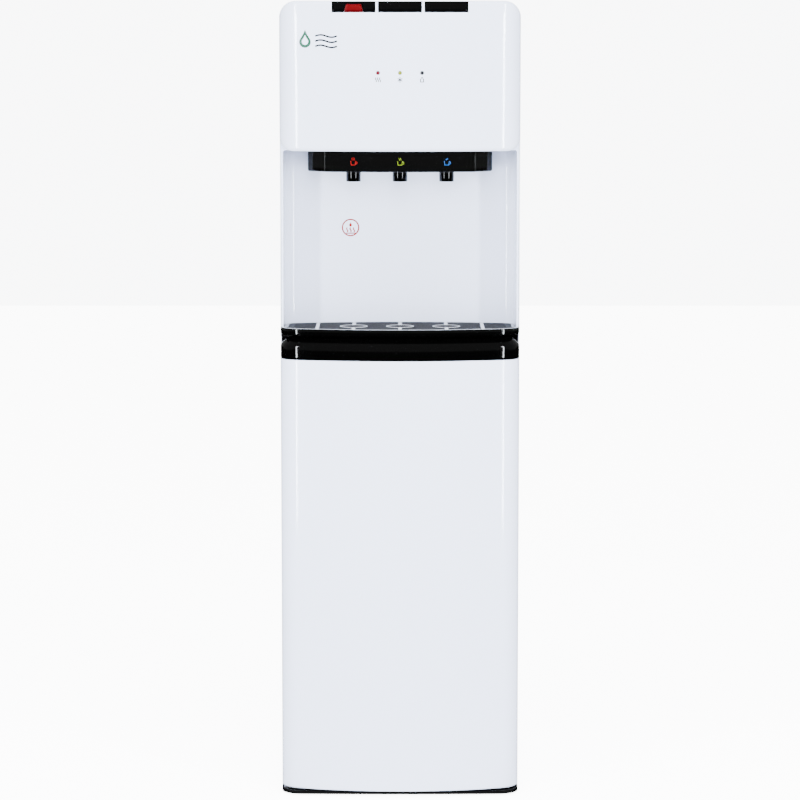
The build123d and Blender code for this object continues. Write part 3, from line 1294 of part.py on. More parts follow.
for name, x in zip(("hot", "cold"), SPOUTS):
    save(f"{name}_drain_cap", drain_cap(x))
save("cord_gland", cord_gland())
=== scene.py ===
"""A floor-standing water cooler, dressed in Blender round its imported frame."""

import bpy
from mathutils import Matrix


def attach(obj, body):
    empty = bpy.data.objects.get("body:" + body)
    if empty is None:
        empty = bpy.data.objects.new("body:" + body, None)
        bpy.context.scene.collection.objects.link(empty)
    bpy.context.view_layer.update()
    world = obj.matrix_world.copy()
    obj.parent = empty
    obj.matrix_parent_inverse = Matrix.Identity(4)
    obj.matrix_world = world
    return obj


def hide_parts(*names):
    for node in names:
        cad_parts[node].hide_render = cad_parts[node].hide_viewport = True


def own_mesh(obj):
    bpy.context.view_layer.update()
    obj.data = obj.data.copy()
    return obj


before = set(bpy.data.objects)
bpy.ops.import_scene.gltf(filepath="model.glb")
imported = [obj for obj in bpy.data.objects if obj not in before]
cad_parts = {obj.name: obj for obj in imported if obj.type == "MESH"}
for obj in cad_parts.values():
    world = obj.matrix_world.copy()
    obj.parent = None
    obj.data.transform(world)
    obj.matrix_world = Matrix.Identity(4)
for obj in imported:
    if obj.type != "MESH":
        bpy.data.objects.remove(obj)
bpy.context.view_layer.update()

import logging
import math
from dataclasses import dataclass
from enum import Enum
from typing import Callable, Iterable, Sequence, Union

import bmesh
import bpy
from mathutils import Euler, Vector

log = logging.getLogger("water_cooler")
Colour = tuple[float, float, float]
Point = tuple[float, float, float]
Station = tuple[float, float]
MM = 0.001


# ------------------------------------------------------------------ shader wiring

class Wire:
    """A socket, or a plain number, that takes part in shader maths."""

    def __init__(self, shader: "Shader", value: Union[bpy.types.NodeSocket, float]) -> None:
        """Wrap a socket or number of one shader."""
        self.shader = shader
        self.value = value

    def _math(self, operation: str, first: object, second: object = 0.0) -> "Wire":
        """Add a Math node.

        Args:
            operation: the Math node's operation.
            first: left value.
            second: right value.

        Returns:
            The node's output.
        """
        return self.shader.node("ShaderNodeMath", {"operation": operation}, {0: first, 1: second})

    def __add__(self, other: object) -> "Wire":
        """Sum."""
        return self._math("ADD", self, other)

    __radd__ = __add__

    def __mul__(self, other: object) -> "Wire":
        """Product."""
        return self._math("MULTIPLY", self, other)

    __rmul__ = __mul__

    def __sub__(self, other: object) -> "Wire":
        """Difference."""
        return self._math("SUBTRACT", self, other)

    def __rsub__(self, other: object) -> "Wire":
        """Difference, the other way round."""
        return self._math("SUBTRACT", other, self)

    def clamp(self, low: float, high: float) -> "Wire":
        """Keep within two limits."""
        return self._math("MINIMUM", self._math("MAXIMUM", self, low), high)


class Shader:
    """One node material with a Principled surface."""

    def __init__(self, name: str) -> None:
        """Make an empty material.

        Args:
            name: the material's name.
        """
        self.material = bpy.data.materials.new(name)
        self.material.use_nodes = True
        self.tree = self.material.node_tree
        self.tree.nodes.clear()
        self.surface = self.tree.nodes.new("ShaderNodeBsdfPrincipled")
        output = self.tree.nodes.new("ShaderNodeOutputMaterial")
        self.tree.links.new(self.surface.outputs[0], output.inputs[0])

    def plug(self, socket: bpy.types.NodeSocket, value: object) -> None:
        """Set a socket's value or link it to a wire.

        Args:
            socket: the input to fill.
            value: a number, a colour, a socket or a wire.
        """
        raw = value.value if isinstance(value, Wire) else value
        if isinstance(raw, bpy.types.NodeSocket):
            self.tree.links.new(raw, socket)
        else:
            socket.default_value = raw

    def node(self, kind: str, settings: dict, inputs: dict, output: Union[int, str] = 0) -> Wire:
        """Add any node.

        Args:
            kind: the node's type.
            settings: its properties, which are set first.
            inputs: values or wires, by socket name or number.
            output: the output to give back.

        Returns:
            That output, wrapped.
        """
        made = self.tree.nodes.new(kind)
        for key, value in settings.items():
            setattr(made, key, value)
        for key, value in inputs.items():
            self.plug(made.inputs[key], value)
        return Wire(self, made.outputs[output])

    def set(self, **values: object) -> None:
        """Set the surface's sockets, with underscores for the spaces in their names.

        Args:
            values: numbers, colours or wires, by socket name.
        """
        for key, value in values.items():
            if isinstance(value, tuple) and len(value) == 3:
                value = (*value, 1)
            self.plug(self.surface.inputs[key.replace("_", " ")], value)

    def place(self, stretch: Point = (1, 1, 1)) -> Wire:
        """Object coordinates, scaled along each axis."""
        where = self.node("ShaderNodeTexCoord", {}, {}, "Object")
        return self.node("ShaderNodeVectorMath", {"operation": "MULTIPLY"}, {0: where, 1: stretch})

    def noise(self, scale: float, detail: float = 2, stretch: Point = (1, 1, 1)) -> Wire:
        """Noise level over the surface, in cells per metre."""
        where = self.place(stretch)
        return self.node("ShaderNodeTexNoise", {}, {"Vector": where, "Scale": scale, "Detail": detail})

    def cells(self, scale: float) -> Wire:
        """Distance to the nearest cell centre."""
        return self.node("ShaderNodeTexVoronoi", {}, {"Vector": self.place(), "Scale": scale}, "Distance")

    def mix(self, factor: object, first: Colour, second: Colour) -> Wire:
        """Blend two colours."""
        inputs = {0: factor, 6: (*first, 1), 7: (*second, 1)}
        return self.node("ShaderNodeMix", {"data_type": "RGBA"}, inputs, 2)

    def tint(self, factor: object, colour: Colour, darkest: float, lightest: float) -> None:
        """Vary the base colour between a darker and a lighter version of itself."""
        self.set(Base_Color=self.mix(factor, shade(colour, darkest), shade(colour, lightest)))

    def bump(self, height: Wire, depth: float) -> None:
        """Bump the surface by a height of some depth in metres."""
        inputs = {"Height": height, "Distance": depth, "Strength": 1.0}
        self.set(Normal=self.node("ShaderNodeBump", {}, inputs, "Normal"))


def shade(colour: Colour, factor: float) -> Colour:
    """A darker or lighter version of a colour."""
    return tuple(min(1.0, channel * factor) for channel in colour)


@dataclass(frozen=True)
class GlossMoulding:
    """Polished injection-moulded plastic with faint flow mottling and orange peel."""

    colour: Colour
    roughness: float = 0.12
    mottle: float = 0.03
    peel: float = 0.000004
    shine: float = 0.5

    def make(self, name: str) -> bpy.types.Material:
        """Build the material.

        Args:
            name: the material's name.

        Returns:
            The material.
        """
        shader = Shader(name)
        shader.tint(shader.noise(9, 3), self.colour, 1 - self.mottle, 1 + self.mottle)
        smears = shader.noise(34, 4)
        shader.set(Roughness=smears * (self.roughness * 0.5) + self.roughness * 0.75)
        shader.set(IOR=1.5, Specular_IOR_Level=self.shine)
        shader.bump(shader.noise(420, 2), self.peel)
        return shader.material


@dataclass(frozen=True)
class TexturedMoulding:
    """Spark-eroded matt plastic with a fine pebbled grain."""

    colour: Colour
    roughness: float = 0.55
    grain: float = 0.00005
    scale: float = 1400
    shine: float = 0.3

    def make(self, name: str) -> bpy.types.Material:
        """Build the material.

        Args:
            name: the material's name.

        Returns:
            The material.
        """
        shader = Shader(name)
        shader.tint(shader.noise(14, 3), self.colour, 0.93, 1.07)
        pebbles = shader.cells(self.scale)
        shader.set(Roughness=(pebbles * 0.12 + self.roughness - 0.05).clamp(0.2, 0.95))
        shader.set(Specular_IOR_Level=self.shine)
        shader.bump(pebbles, self.grain)
        return shader.material


@dataclass(frozen=True)
class PowderCoat:
    """Powder-coated sheet steel with a fine even orange peel."""

    colour: Colour
    roughness: float = 0.34

    def make(self, name: str) -> bpy.types.Material:
        """Build the material.

        Args:
            name: the material's name.

        Returns:
            The material.
        """
        shader = Shader(name)
        shader.tint(shader.noise(5, 3), self.colour, 0.975, 1.02)
        peel = shader.noise(900, 3)
        shader.set(Roughness=peel * 0.12 + self.roughness - 0.06, IOR=1.5, Coat_Weight=0.1)
        shader.bump(peel, 0.00004)
        return shader.material


@dataclass(frozen=True)
class DrawnMetal:
    """Metal with drawing or brushing lines along one axis."""

    colour: Colour
    roughness: float = 0.28
    stretch: Point = (1, 1, 0.04)

    def make(self, name: str) -> bpy.types.Material:
        """Build the material.

        Args:
            name: the material's name.

        Returns:
            The material.
        """
        shader = Shader(name)
        lines = shader.noise(1600, 3, self.stretch)
        shader.tint(lines, self.colour, 0.86, 1.08)
        shader.set(Metallic=1.0, Roughness=lines * 0.2 + self.roughness - 0.1)
        shader.bump(lines, 0.00003)
        return shader.material


@dataclass(frozen=True)
class Lens:
    """Tinted lamp lens under a clear coat, with an emission strength that is nought unless given."""

    colour: Colour
    glow: float = 0.0

    def make(self, name: str) -> bpy.types.Material:
        """Build the material.

        Args:
            name: the material's name.

        Returns:
            The material.
        """
        shader = Shader(name)
        facets = shader.cells(2400)
        shader.tint(facets, self.colour, 0.75, 1.2)
        shader.set(Roughness=0.12, IOR=1.5, Coat_Weight=0.6, Coat_Roughness=0.02)
        shader.set(Emission_Color=self.colour, Emission_Strength=self.glow)
        shader.bump(facets, 0.00002)
        return shader.material


@dataclass(frozen=True)
class FoamedPlastic:
    """Rigid foam or soft rubber with open cells in its skin."""

    colour: Colour
    roughness: float = 0.8
    scale: float = 420
    depth: float = 0.0002

    def make(self, name: str) -> bpy.types.Material:
        """Build the material.

        Args:
            name: the material's name.

        Returns:
            The material.
        """
        shader = Shader(name)
        cells = shader.cells(self.scale)
        shader.tint(cells, self.colour, 0.82, 1.08)
        shader.set(Roughness=cells * 0.15 + self.roughness - 0.08)
        shader.bump(cells, self.depth)
        return shader.material


@dataclass(frozen=True)
class CircuitBoard:
    """Solder-masked board with darker tracks under the mask."""

    colour: Colour

    def make(self, name: str) -> bpy.types.Material:
        """Build the material.

        Args:
            name: the material's name.

        Returns:
            The material.
        """
        shader = Shader(name)
        sizes = {"Scale": 140.0, "Mortar Size": 0.08, "Brick Width": 0.9, "Row Height": 0.35}
        inputs = {"Vector": shader.place(), **sizes}
        tracks = shader.node("ShaderNodeTexBrick", {"offset": 0.37}, inputs, "Fac")
        shader.tint(tracks, self.colour, 1.0, 2.2)
        shader.set(Roughness=0.3, IOR=1.5, Coat_Weight=0.4)
        shader.bump(tracks, 0.00003)
        return shader.material


@dataclass(frozen=True)
class SoftTube:
    """Translucent silicone."""

    colour: Colour

    def make(self, name: str) -> bpy.types.Material:
        """Build the material.

        Args:
            name: the material's name.

        Returns:
            The material.
        """
        shader = Shader(name)
        bloom = shader.noise(120, 3)
        shader.tint(bloom, self.colour, 0.9, 1.05)
        shader.set(Roughness=bloom * 0.15 + 0.3, Transmission_Weight=0.25, IOR=1.41)
        shader.bump(bloom, 0.00002)
        return shader.material


class Finish(Enum):
    """Every finish on the cooler, named as the record's material slots."""

    white_gloss = GlossMoulding((0.74, 0.79, 0.97), roughness=0.09, mottle=0.006)
    white_steel = PowderCoat((0.75, 0.78, 0.86))
    black_gloss = GlossMoulding((0.0004, 0.0004, 0.0004), roughness=0.05, mottle=0.1, shine=0.2)
    black_matte = TexturedMoulding((0.0012, 0.0012, 0.0013), shine=0.1)
    rubber_feet = FoamedPlastic((0.02, 0.02, 0.02), roughness=0.75, scale=1500, depth=0.00004)
    steel = DrawnMetal((0.62, 0.62, 0.63))
    stainless = DrawnMetal((0.72, 0.72, 0.72), roughness=0.22, stretch=(0.05, 0.05, 1))
    aluminium = DrawnMetal((0.8, 0.8, 0.82), roughness=0.35, stretch=(1, 0.05, 1))
    red_plastic = GlossMoulding((0.07, 0.0001, 0.0012), roughness=0.2, mottle=0.05, shine=0.15)
    green_plastic = GlossMoulding((0.02, 0.3, 0.05), roughness=0.2, mottle=0.05)
    red_lamp = Lens((0.08, 0.001, 0.006))
    green_lamp = Lens((0.15, 0.17, 0.008))
    dark_lamp = Lens((0.008, 0.008, 0.01))
    inner_plastic = TexturedMoulding((0.72, 0.73, 0.735), roughness=0.45, grain=0.00003)
    grille_grey = TexturedMoulding((0.02, 0.02, 0.0215), roughness=0.6, grain=0.00002, shine=0.03)
    circuit_green = CircuitBoard((0.01, 0.12, 0.03))
    foam = FoamedPlastic((0.72, 0.7, 0.62))
    soft_tube = SoftTube((0.8, 0.83, 0.84))
    # Painted highlight: this silver goes on the tray's rim strip and grille ribs to stand for their glossy
    # reflection, not for a metal part.
    silver_trim = GlossMoulding((0.42, 0.43, 0.45), roughness=0.25, mottle=0.03)
    teal_mark = GlossMoulding((0.002, 0.06, 0.03), roughness=0.3, mottle=0.05, shine=0.2)
    grey_print = TexturedMoulding((0.003, 0.003, 0.004), roughness=0.4, grain=0.00001, shine=0.1)
    red_print = TexturedMoulding((0.22, 0.0012, 0.0012), roughness=0.4, grain=0.00001, shine=0.1)
    lime_print = TexturedMoulding((0.13, 0.19, 0.002), roughness=0.35, grain=0.00001)
    blue_print = TexturedMoulding((0.003, 0.07, 0.26), roughness=0.35, grain=0.00001)

    @property
    def material(self) -> bpy.types.Material:
        """The finish's material, made once."""
        name = f"{self.name}_finish"
        return bpy.data.materials.get(name) or self.value.make(name)


# ------------------------------------------------------------------ mesh work

def settle(name: str, mesh: bmesh.types.BMesh) -> bpy.types.Object:
    """Turn a bmesh, freed afterwards, into an object of the scene as it is.

    Args:
        name: the object's name.
        mesh: its mesh.

    Returns:
        The new object.
    """
    data = bpy.data.meshes.new(name)
    mesh.to_mesh(data)
    mesh.free()
    made = bpy.data.objects.new(name, data)
    bpy.context.scene.collection.objects.link(made)
    return made


def link(name: str, mesh: bmesh.types.BMesh) -> bpy.types.Object:
    """Turn a bmesh into an object with merged points and outward faces.

    Args:
        name: the object's name.
        mesh: its mesh, freed afterwards.

    Returns:
        The new object.
    """
    bmesh.ops.remove_doubles(mesh, verts=mesh.verts, dist=1e-6)
    bmesh.ops.recalc_face_normals(mesh, faces=mesh.faces)
    return settle(name, mesh)


def apply_modifiers(piece: bpy.types.Object) -> None:
    """Bake a piece's modifiers into its mesh.

    Args:
        piece: the piece, which loses its modifiers.
    """
    bpy.context.view_layer.update()
    graph = bpy.context.evaluated_depsgraph_get()
    baked = bpy.data.meshes.new_from_object(piece.evaluated_get(graph))
    piece.modifiers.clear()
    piece.data = baked


def cut(piece: bpy.types.Object, tool: bpy.types.Object, operation: str = "DIFFERENCE") -> None:
    """Cut, join or intersect a piece with a tool, and remove the tool.

    Args:
        piece: the piece that is kept.
        tool: the other solid.
        operation: DIFFERENCE, UNION or INTERSECT.
    """
    step = piece.modifiers.new("cut", "BOOLEAN")
    step.operation = operation
    step.solver = "EXACT"
    step.object = tool
    apply_modifiers(piece)
    bpy.data.objects.remove(tool)


def soften(piece: bpy.types.Object, width: float, segments: int = 2, angle: float = 35) -> None:
    """Round a piece's sharp edges by a width in millimetres.

    Args:
        piece: the piece.
        width: width of the round, in millimetres.
        segments: faces across the round.
        angle: least angle between two faces that is softened, in degrees.
    """
    step = piece.modifiers.new("soft_edges", "BEVEL")
    step.width = width * MM
    step.segments = segments
    step.limit_method = "ANGLE"
    step.angle_limit = math.radians(angle)
    step.use_clamp_overlap = True
    step.harden_normals = False
    step.miter_outer = "MITER_ARC"


def smooth(piece: bpy.types.Object, angle: float = 35) -> None:
    """Shade smooth, with edges over an angle kept sharp."""
    piece.data.polygons.foreach_set("use_smooth", [True] * len(piece.data.polygons))
    piece.data.set_sharp_from_angle(angle=math.radians(angle))


def dress(piece: bpy.types.Object, finish: Finish, body: str, replaces: Iterable[str] = ()) -> None:
    """Give a piece its finish and its body.

    Args:
        piece: the new piece.
        finish: its finish.
        body: the body it rides on.
        replaces: the CAD nodes that it stands for.
    """
    piece.data.materials.clear()
    piece.data.materials.append(finish.material)
    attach(piece, body)
    if replaces:
        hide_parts(*replaces)
    log.info("%s: %d faces on %s", piece.name, len(piece.data.polygons), body)


def complete(piece: bpy.types.Object, edge: tuple[float, int, float], finish: Finish, body: str,
             replaces: Iterable[str] = ()) -> None:
    """Soften a moulding's edges, smooth its rounds and dress it.

    Args:
        piece: the new piece.
        edge: width in millimetres, segments and least angle of its softened edges.
        finish: its finish.
        body: the body it rides on.
        replaces: the CAD nodes that it stands for.
    """
    soften(piece, *edge)
    smooth(piece, 40)
    dress(piece, finish, body, replaces)


def box_tool(low: Point, high: Point) -> bpy.types.Object:
    """A box between two corners, in millimetres, used as a cutter.

    Args:
        low: its lowest corner.
        high: its highest corner.

    Returns:
        The box.
    """
    mesh = bmesh.new()
    bmesh.ops.create_cube(mesh, size=1)
    size = [b - a for a, b in zip(low, high)]
    middle = [(a + b) / 2 for a, b in zip(low, high)]
    for vert in mesh.verts:
        vert.co = Vector([(m + s * c) * MM for m, s, c in zip(middle, size, vert.co)])
    return link("tool", mesh)


def ring_stack(rings: Sequence[Sequence[Point]], capped: bool = True) -> bmesh.types.BMesh:
    """A mesh of closed rings joined in order, in millimetres, with end caps.

    Args:
        rings: closed rings of equal count, from one end to the other.
        capped: whether the ends are closed.

    Returns:
        The mesh.
    """
    mesh = bmesh.new()
    rows = [[mesh.verts.new([c * MM for c in point]) for point in ring] for ring in rings]
    for lower, upper in zip(rows, rows[1:]):
        for index in range(len(lower)):
            after = (index + 1) % len(lower)
            mesh.faces.new((lower[index], lower[after], upper[after], upper[index]))
    if capped:
        mesh.faces.new(rows[0][::-1])
        mesh.faces.new(rows[-1])
    return mesh


def round_over(radius: float, steps: int = 6) -> list[Station]:
    """Offsets of a quarter round, as (inset, drop) pairs from the flat end to the upright side."""
    turns = [math.pi / 2 * step / steps for step in range(steps + 1)]
    return [(radius * (1 - math.sin(turn)), radius * (1 - math.cos(turn))) for turn in turns]


def lathe(name: str, profile: Sequence[Station], centre: Point, along: Point = (0, 0, 1),
          steps: int = 64) -> bpy.types.Object:
    """A turned piece.

    Args:
        name: the piece's name.
        profile: closed outline as (radius, height) pairs, in millimetres.
        centre: the axis's origin, in millimetres.
        along: the axis's direction.
        steps: divisions round the axis.

    Returns:
        The piece.
    """
    turn = Vector((0, 0, 1)).rotation_difference(Vector(along))
    mesh = bmesh.new()
    columns = []
    for step in range(steps):
        angle = 2 * math.pi * step / steps
        spot = [turn @ Vector((r * math.cos(angle), r * math.sin(angle), h)) for r, h in profile]
        columns.append([mesh.verts.new((Vector(centre) + point) * MM) for point in spot])
    count = len(profile)
    for step in range(steps):
        here, there = columns[step], columns[(step + 1) % steps]
        for index in range(count):
            after = (index + 1) % count
            mesh.faces.new((here[index], there[index], there[after], here[after]))
    bmesh.ops.remove_doubles(mesh, verts=mesh.verts, dist=1e-7)
    bmesh.ops.dissolve_degenerate(mesh, edges=mesh.edges, dist=1e-7)
    return link(name, mesh)


def bore(radius: float, low: float, high: float) -> list[Station]:
    """Profile of a plain round hole, for the lathe."""
    return [(0, low), (radius, low), (radius, high), (0, high)]


def join(name: str, parts: Sequence[bpy.types.Object]) -> bpy.types.Object:
    """Join several objects' meshes into one piece.

    Args:
        name: the piece's name.
        parts: the objects, which are removed.

    Returns:
        The piece.
    """
    mesh = bmesh.new()
    for part in parts:
        part.data.transform(part.matrix_world)
        mesh.from_mesh(part.data)
        bpy.data.objects.remove(part)
    return settle(name, mesh)


# ------------------------------------------------------------------ the shapes that pieces share

@dataclass(frozen=True)
class Bow:
    """A bowed plan line with tangent corner arcs, in millimetres.

    Its inward is 1 where it bulges to the front, and -1 where it is hollow.
    """

    half: float
    tip: float
    radius: float
    corner: float
    inward: int = 1

    @property
    def lean(self) -> float:
        """Angle at which the bow meets its corner arcs."""
        return math.asin((self.half - self.corner) / (self.radius - self.corner))

    def hub(self) -> tuple[float, float]:
        """Centre of the right-hand corner arc."""
        reach = (self.radius - self.corner) * math.cos(self.lean)
        return self.half - self.corner, self.tip + self.inward * (self.radius - reach)

    def line(self, inset: float = 0.0, bows: int = 56, turns: int = 14) -> list[Station]:
        """Points from the left flank round to the right flank.

        Args:
            inset: how far inside the plan the line runs.
            bows: divisions of the bow.
            turns: divisions of each corner.

        Returns:
            (x, y) pairs.
        """
        hub_x, hub_y = self.hub()
        radius, corner = self.radius - inset, self.corner - inset
        centre = self.tip + self.inward * self.radius
        right = []
        for step in range(bows // 2 + 1):
            angle = self.lean * 2 * step / bows
            right.append((radius * math.sin(angle), centre - self.inward * radius * math.cos(angle)))
        for step in range(1, turns + 1):
            angle = self.lean + (math.pi / 2 - self.lean) * step / turns
            right.append((hub_x + corner * math.sin(angle), hub_y - self.inward * corner * math.cos(angle)))
        return [(-x, y) for x, y in right[:0:-1]] + right

    def depth(self, x: float, inset: float = 0.0) -> float:
        """Y of the line at an x.

        Args:
            x: distance from the middle plane.
            inset: how far inside the plan the line runs.

        Returns:
            The line's y there.
        """
        x = abs(x)
        hub_x, hub_y = self.hub()
        radius, corner = self.radius - inset, self.corner - inset
        if x <= radius * math.sin(self.lean):
            return self.tip + self.inward * (self.radius - math.sqrt(radius**2 - x**2))
        rise = max(0.0, corner**2 - (x - hub_x) ** 2)
        return hub_y - self.inward * math.sqrt(rise)


HALF_WIDTH = 155
FRONT_BOW = Bow(half=HALF_WIDTH, tip=-180, radius=480, corner=30)
RECESS_BOW = Bow(half=151, tip=-60, radius=612, corner=18, inward=-1)
HEAD_BACK = -131.79
DOOR_BACK = -129.99
CHEEK_FRONT = -131.29
AHEAD = -190
HEIGHT = 1033.0
HEAD_BOTTOM = 842.0
TRAY_TOP = 613.7


def closed(line: Sequence[Station], back: float, z: float, steps: int = 24) -> list[Point]:
    """A plan line closed by a straight back, as one ring at a height.

    Args:
        line: the line, from left to right.
        back: y of the back.
        z: height of the ring.
        steps: divisions of the back.

    Returns:
        The ring's points.
    """
    (left, _), (right, _) = line[0], line[-1]
    rear = [(right + (left - right) * step / steps, back) for step in range(steps + 1)]
    return risen([*line, *rear], z)


def bowed_solid(name: str, bow: Bow, back: float, stations: Sequence[Station]) -> bpy.types.Object:
    """A solid of a bow's plan, whose inset varies with height.

    Args:
        name: the solid's name.
        bow: its front line.
        back: y of its straight back.
        stations: (inset, height) pairs from the bottom up.

    Returns:
        The solid.
    """
    rings = [closed(bow.line(inset), back, z) for inset, z in stations]
    return link(name, ring_stack(rings))


def rounded_column(low: float, high: float, bottom: float, top: float, inset: float = 0.0) -> list[Station]:
    """Stations of an upright wall with rounded ends.

    Args:
        low: bottom height.
        high: top height.
        bottom: radius of the bottom round.
        top: radius of the top round.
        inset: inset of the upright part.

    Returns:
        (inset, height) pairs from the bottom up.
    """
    foot = [(inset + offset, low + drop) for offset, drop in round_over(bottom)]
    crown = [(inset + offset, high - drop) for offset, drop in reversed(round_over(top))]
    return foot + crown


@dataclass(frozen=True)
class HeadForm:
    """The head's outer form: a bowed front face with rounded corners and softly rounded edges."""

    low: float = HEAD_BOTTOM
    high: float = HEIGHT
    lower_corner: float = 18
    upper_corner: float = 22
    edge: float = 5
    inset: float = 0.0
    across: int = 52
    upright: int = 20
    turns: int = 7
    skirt: float = 30
    skirt_turn: float = 4.2
    skirt_steps: int = 14
    least_corner: float = 0.6

    def _quarter(self, x: float, z: float, radius: float, start: float) -> list[Station]:
        """Points of an eighth of a circle after its start, with the start left out.

        Args:
            x: centre's x.
            z: centre's z.
            radius: radius of the arc.
            start: angle that it starts from, in radians.

        Returns:
            (x, z) pairs.
        """
        steps = range(1, self.turns + 1)
        angles = [start + math.pi / 4 * step / self.turns for step in steps]
        return [(x + radius * math.cos(angle), z + radius * math.sin(angle)) for angle in angles]

    def sides(self, shrink: float) -> list[list[Station]]:
        """The elevation's bottom, right, top and left sides, each split at the corners' middles.

        Args:
            shrink: how far inside the outline they run.

        Returns:
            Four lists of (x, z) pairs; each ends where the next starts.
        """
        gap = self.inset + shrink
        half, low, high = HALF_WIDTH - gap, self.low + gap, self.high - gap
        corners = (self.lower_corner, self.upper_corner)
        lower, upper = (max(radius - gap, self.least_corner) for radius in corners)

        def corner(x: float, z: float, radius: float, start: int) -> list[Station]:
            """Half of a corner's arc, from a start angle in degrees."""
            centre = (x - math.copysign(radius, x), z + (radius if z < (low + high) / 2 else -radius))
            angle = math.radians(start)
            first = (centre[0] + radius * math.cos(angle), centre[1] + radius * math.sin(angle))
            return [first, *self._quarter(*centre, radius, angle)]

        def straight(first: Station, last: Station, count: int) -> list[Station]:
            """The points between two ends, with the ends left out."""
            run_x, run_z = last[0] - first[0], last[1] - first[1]
            shares = [step / count for step in range(1, count)]
            return [(first[0] + run_x * share, first[1] + run_z * share) for share in shares]

        bottom_left, bottom_right = corner(-half, low, lower, 225), corner(half, low, lower, 270)
        right_low, right_high = corner(half, low, lower, 315), corner(half, high, upper, 0)
        top_right, top_left = corner(half, high, upper, 45), corner(-half, high, upper, 90)
        left_high, left_low = corner(-half, high, upper, 135), corner(-half, low, lower, 180)
        pairs = [(bottom_left, bottom_right, self.across), (right_low, right_high, self.upright),
                 (top_right, top_left, self.across), (left_high, left_low, self.upright)]
        return [a + straight(a[-1], b[0], count) + b for a, b, count in pairs]

    def depth(self, x: float, z: float, shrink: float) -> float:
        """Y of the front face at a point, which the edge round carries back near the top and bottom.

        Args:
            x: distance from the middle plane.
            z: height.
            shrink: how far the point is inside the outline.

        Returns:
            The face's y there.
        """
        gap = max(0.0, self.edge - shrink)
        face = FRONT_BOW.depth(min(abs(x), HALF_WIDTH - self.inset), self.inset)
        back = self.edge - math.sqrt(max(0.0, self.edge**2 - gap**2))
        nearest = min(z - self.low, self.high - z) - self.inset
        corner = self.upper_corner if z > (self.low + self.high) / 2 else self.lower_corner
        share = min(1.0, max(0.0, 1 - (nearest - shrink) / max(corner, 0.1)))
        return min(face + back * share, HEAD_BACK - 0.2)

    def solid(self, name: str, back: float = HEAD_BACK) -> bpy.types.Object:
        """Make the form as a closed solid back to y = back.

        Args:
            name: the solid's name.
            back: y of its flat back.

        Returns:
            The solid.
        """
        mesh = bmesh.new()
        turns = [math.radians(self.skirt_turn * step) for step in range(self.skirt_steps)]
        shrinks = [self.skirt * (1 - math.cos(turn)) for turn in turns]
        rings = []
        for shrink in shrinks:
            loop = [point for side in self.sides(shrink) for point in side[:-1]]
            rings.append([mesh.verts.new((x * MM, self.depth(x, z, shrink) * MM, z * MM)) for x, z in loop])
        outline = [point for side in self.sides(0) for point in side[:-1]]
        rear = [mesh.verts.new((x * MM, back * MM, z * MM)) for x, z in outline]
        for inner, outer in zip(rings, [rear, *rings]):
            count = len(inner)
            for index in range(count):
                after = (index + 1) % count
                mesh.faces.new((outer[index], outer[after], inner[after], inner[index]))
        mesh.faces.new(rear[::-1])
        self._face(mesh, shrinks[-1], rings[-1])
        return link(name, mesh)

    def _face(self, mesh: bmesh.types.BMesh, shrink: float, rim: list) -> None:
        """Fill the middle of the front with a grid that blends the four sides.

        Args:
            mesh: the mesh to add to.
            shrink: how far inside the outline the rim runs.
            rim: the rim's vertices, in the order of the sides.
        """
        bottom, right, top, left = self.sides(shrink)
        top, left = top[::-1], left[::-1]
        columns, rows = len(bottom) - 1, len(right) - 1
        grid = {}
        for column in range(columns + 1):
            for row in range(rows + 1):
                u, v = column / columns, row / rows
                spot = []
                for axis in (0, 1):
                    sides = (1 - v) * bottom[column][axis] + v * top[column][axis]
                    sides += (1 - u) * left[row][axis] + u * right[row][axis]
                    sides -= (1 - u) * (1 - v) * bottom[0][axis] + u * (1 - v) * bottom[-1][axis]
                    sides -= (1 - u) * v * top[0][axis] + u * v * top[-1][axis]
                    spot.append(sides)
                x, z = spot
                if column not in (0, columns) and row not in (0, rows):
                    grid[column, row] = mesh.verts.new((x * MM, self.depth(x, z, self.skirt) * MM, z * MM))
        for index, vert in enumerate(rim):
            if index < columns:
                grid[index, 0] = vert
            elif index < columns + rows:
                grid[columns, index - columns] = vert
            elif index < 2 * columns + rows:
                grid[columns - (index - columns - rows), rows] = vert
            else:
                grid[0, rows - (index - 2 * columns - rows)] = vert
        for column in range(columns):
            for row in range(rows):
                mesh.faces.new((grid[column, row], grid[column + 1, row],
                                grid[column + 1, row + 1], grid[column, row + 1]))


def copy_node(node: str, name: str) -> bpy.types.Object:
    """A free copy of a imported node's mesh.

    Args:
        node: the node's name.
        name: the copy's name.

    Returns:
        The copy, without materials.
    """
    made = bpy.data.objects.new(name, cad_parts[node].data.copy())
    made.data.materials.clear()
    bpy.context.scene.collection.objects.link(made)
    return made


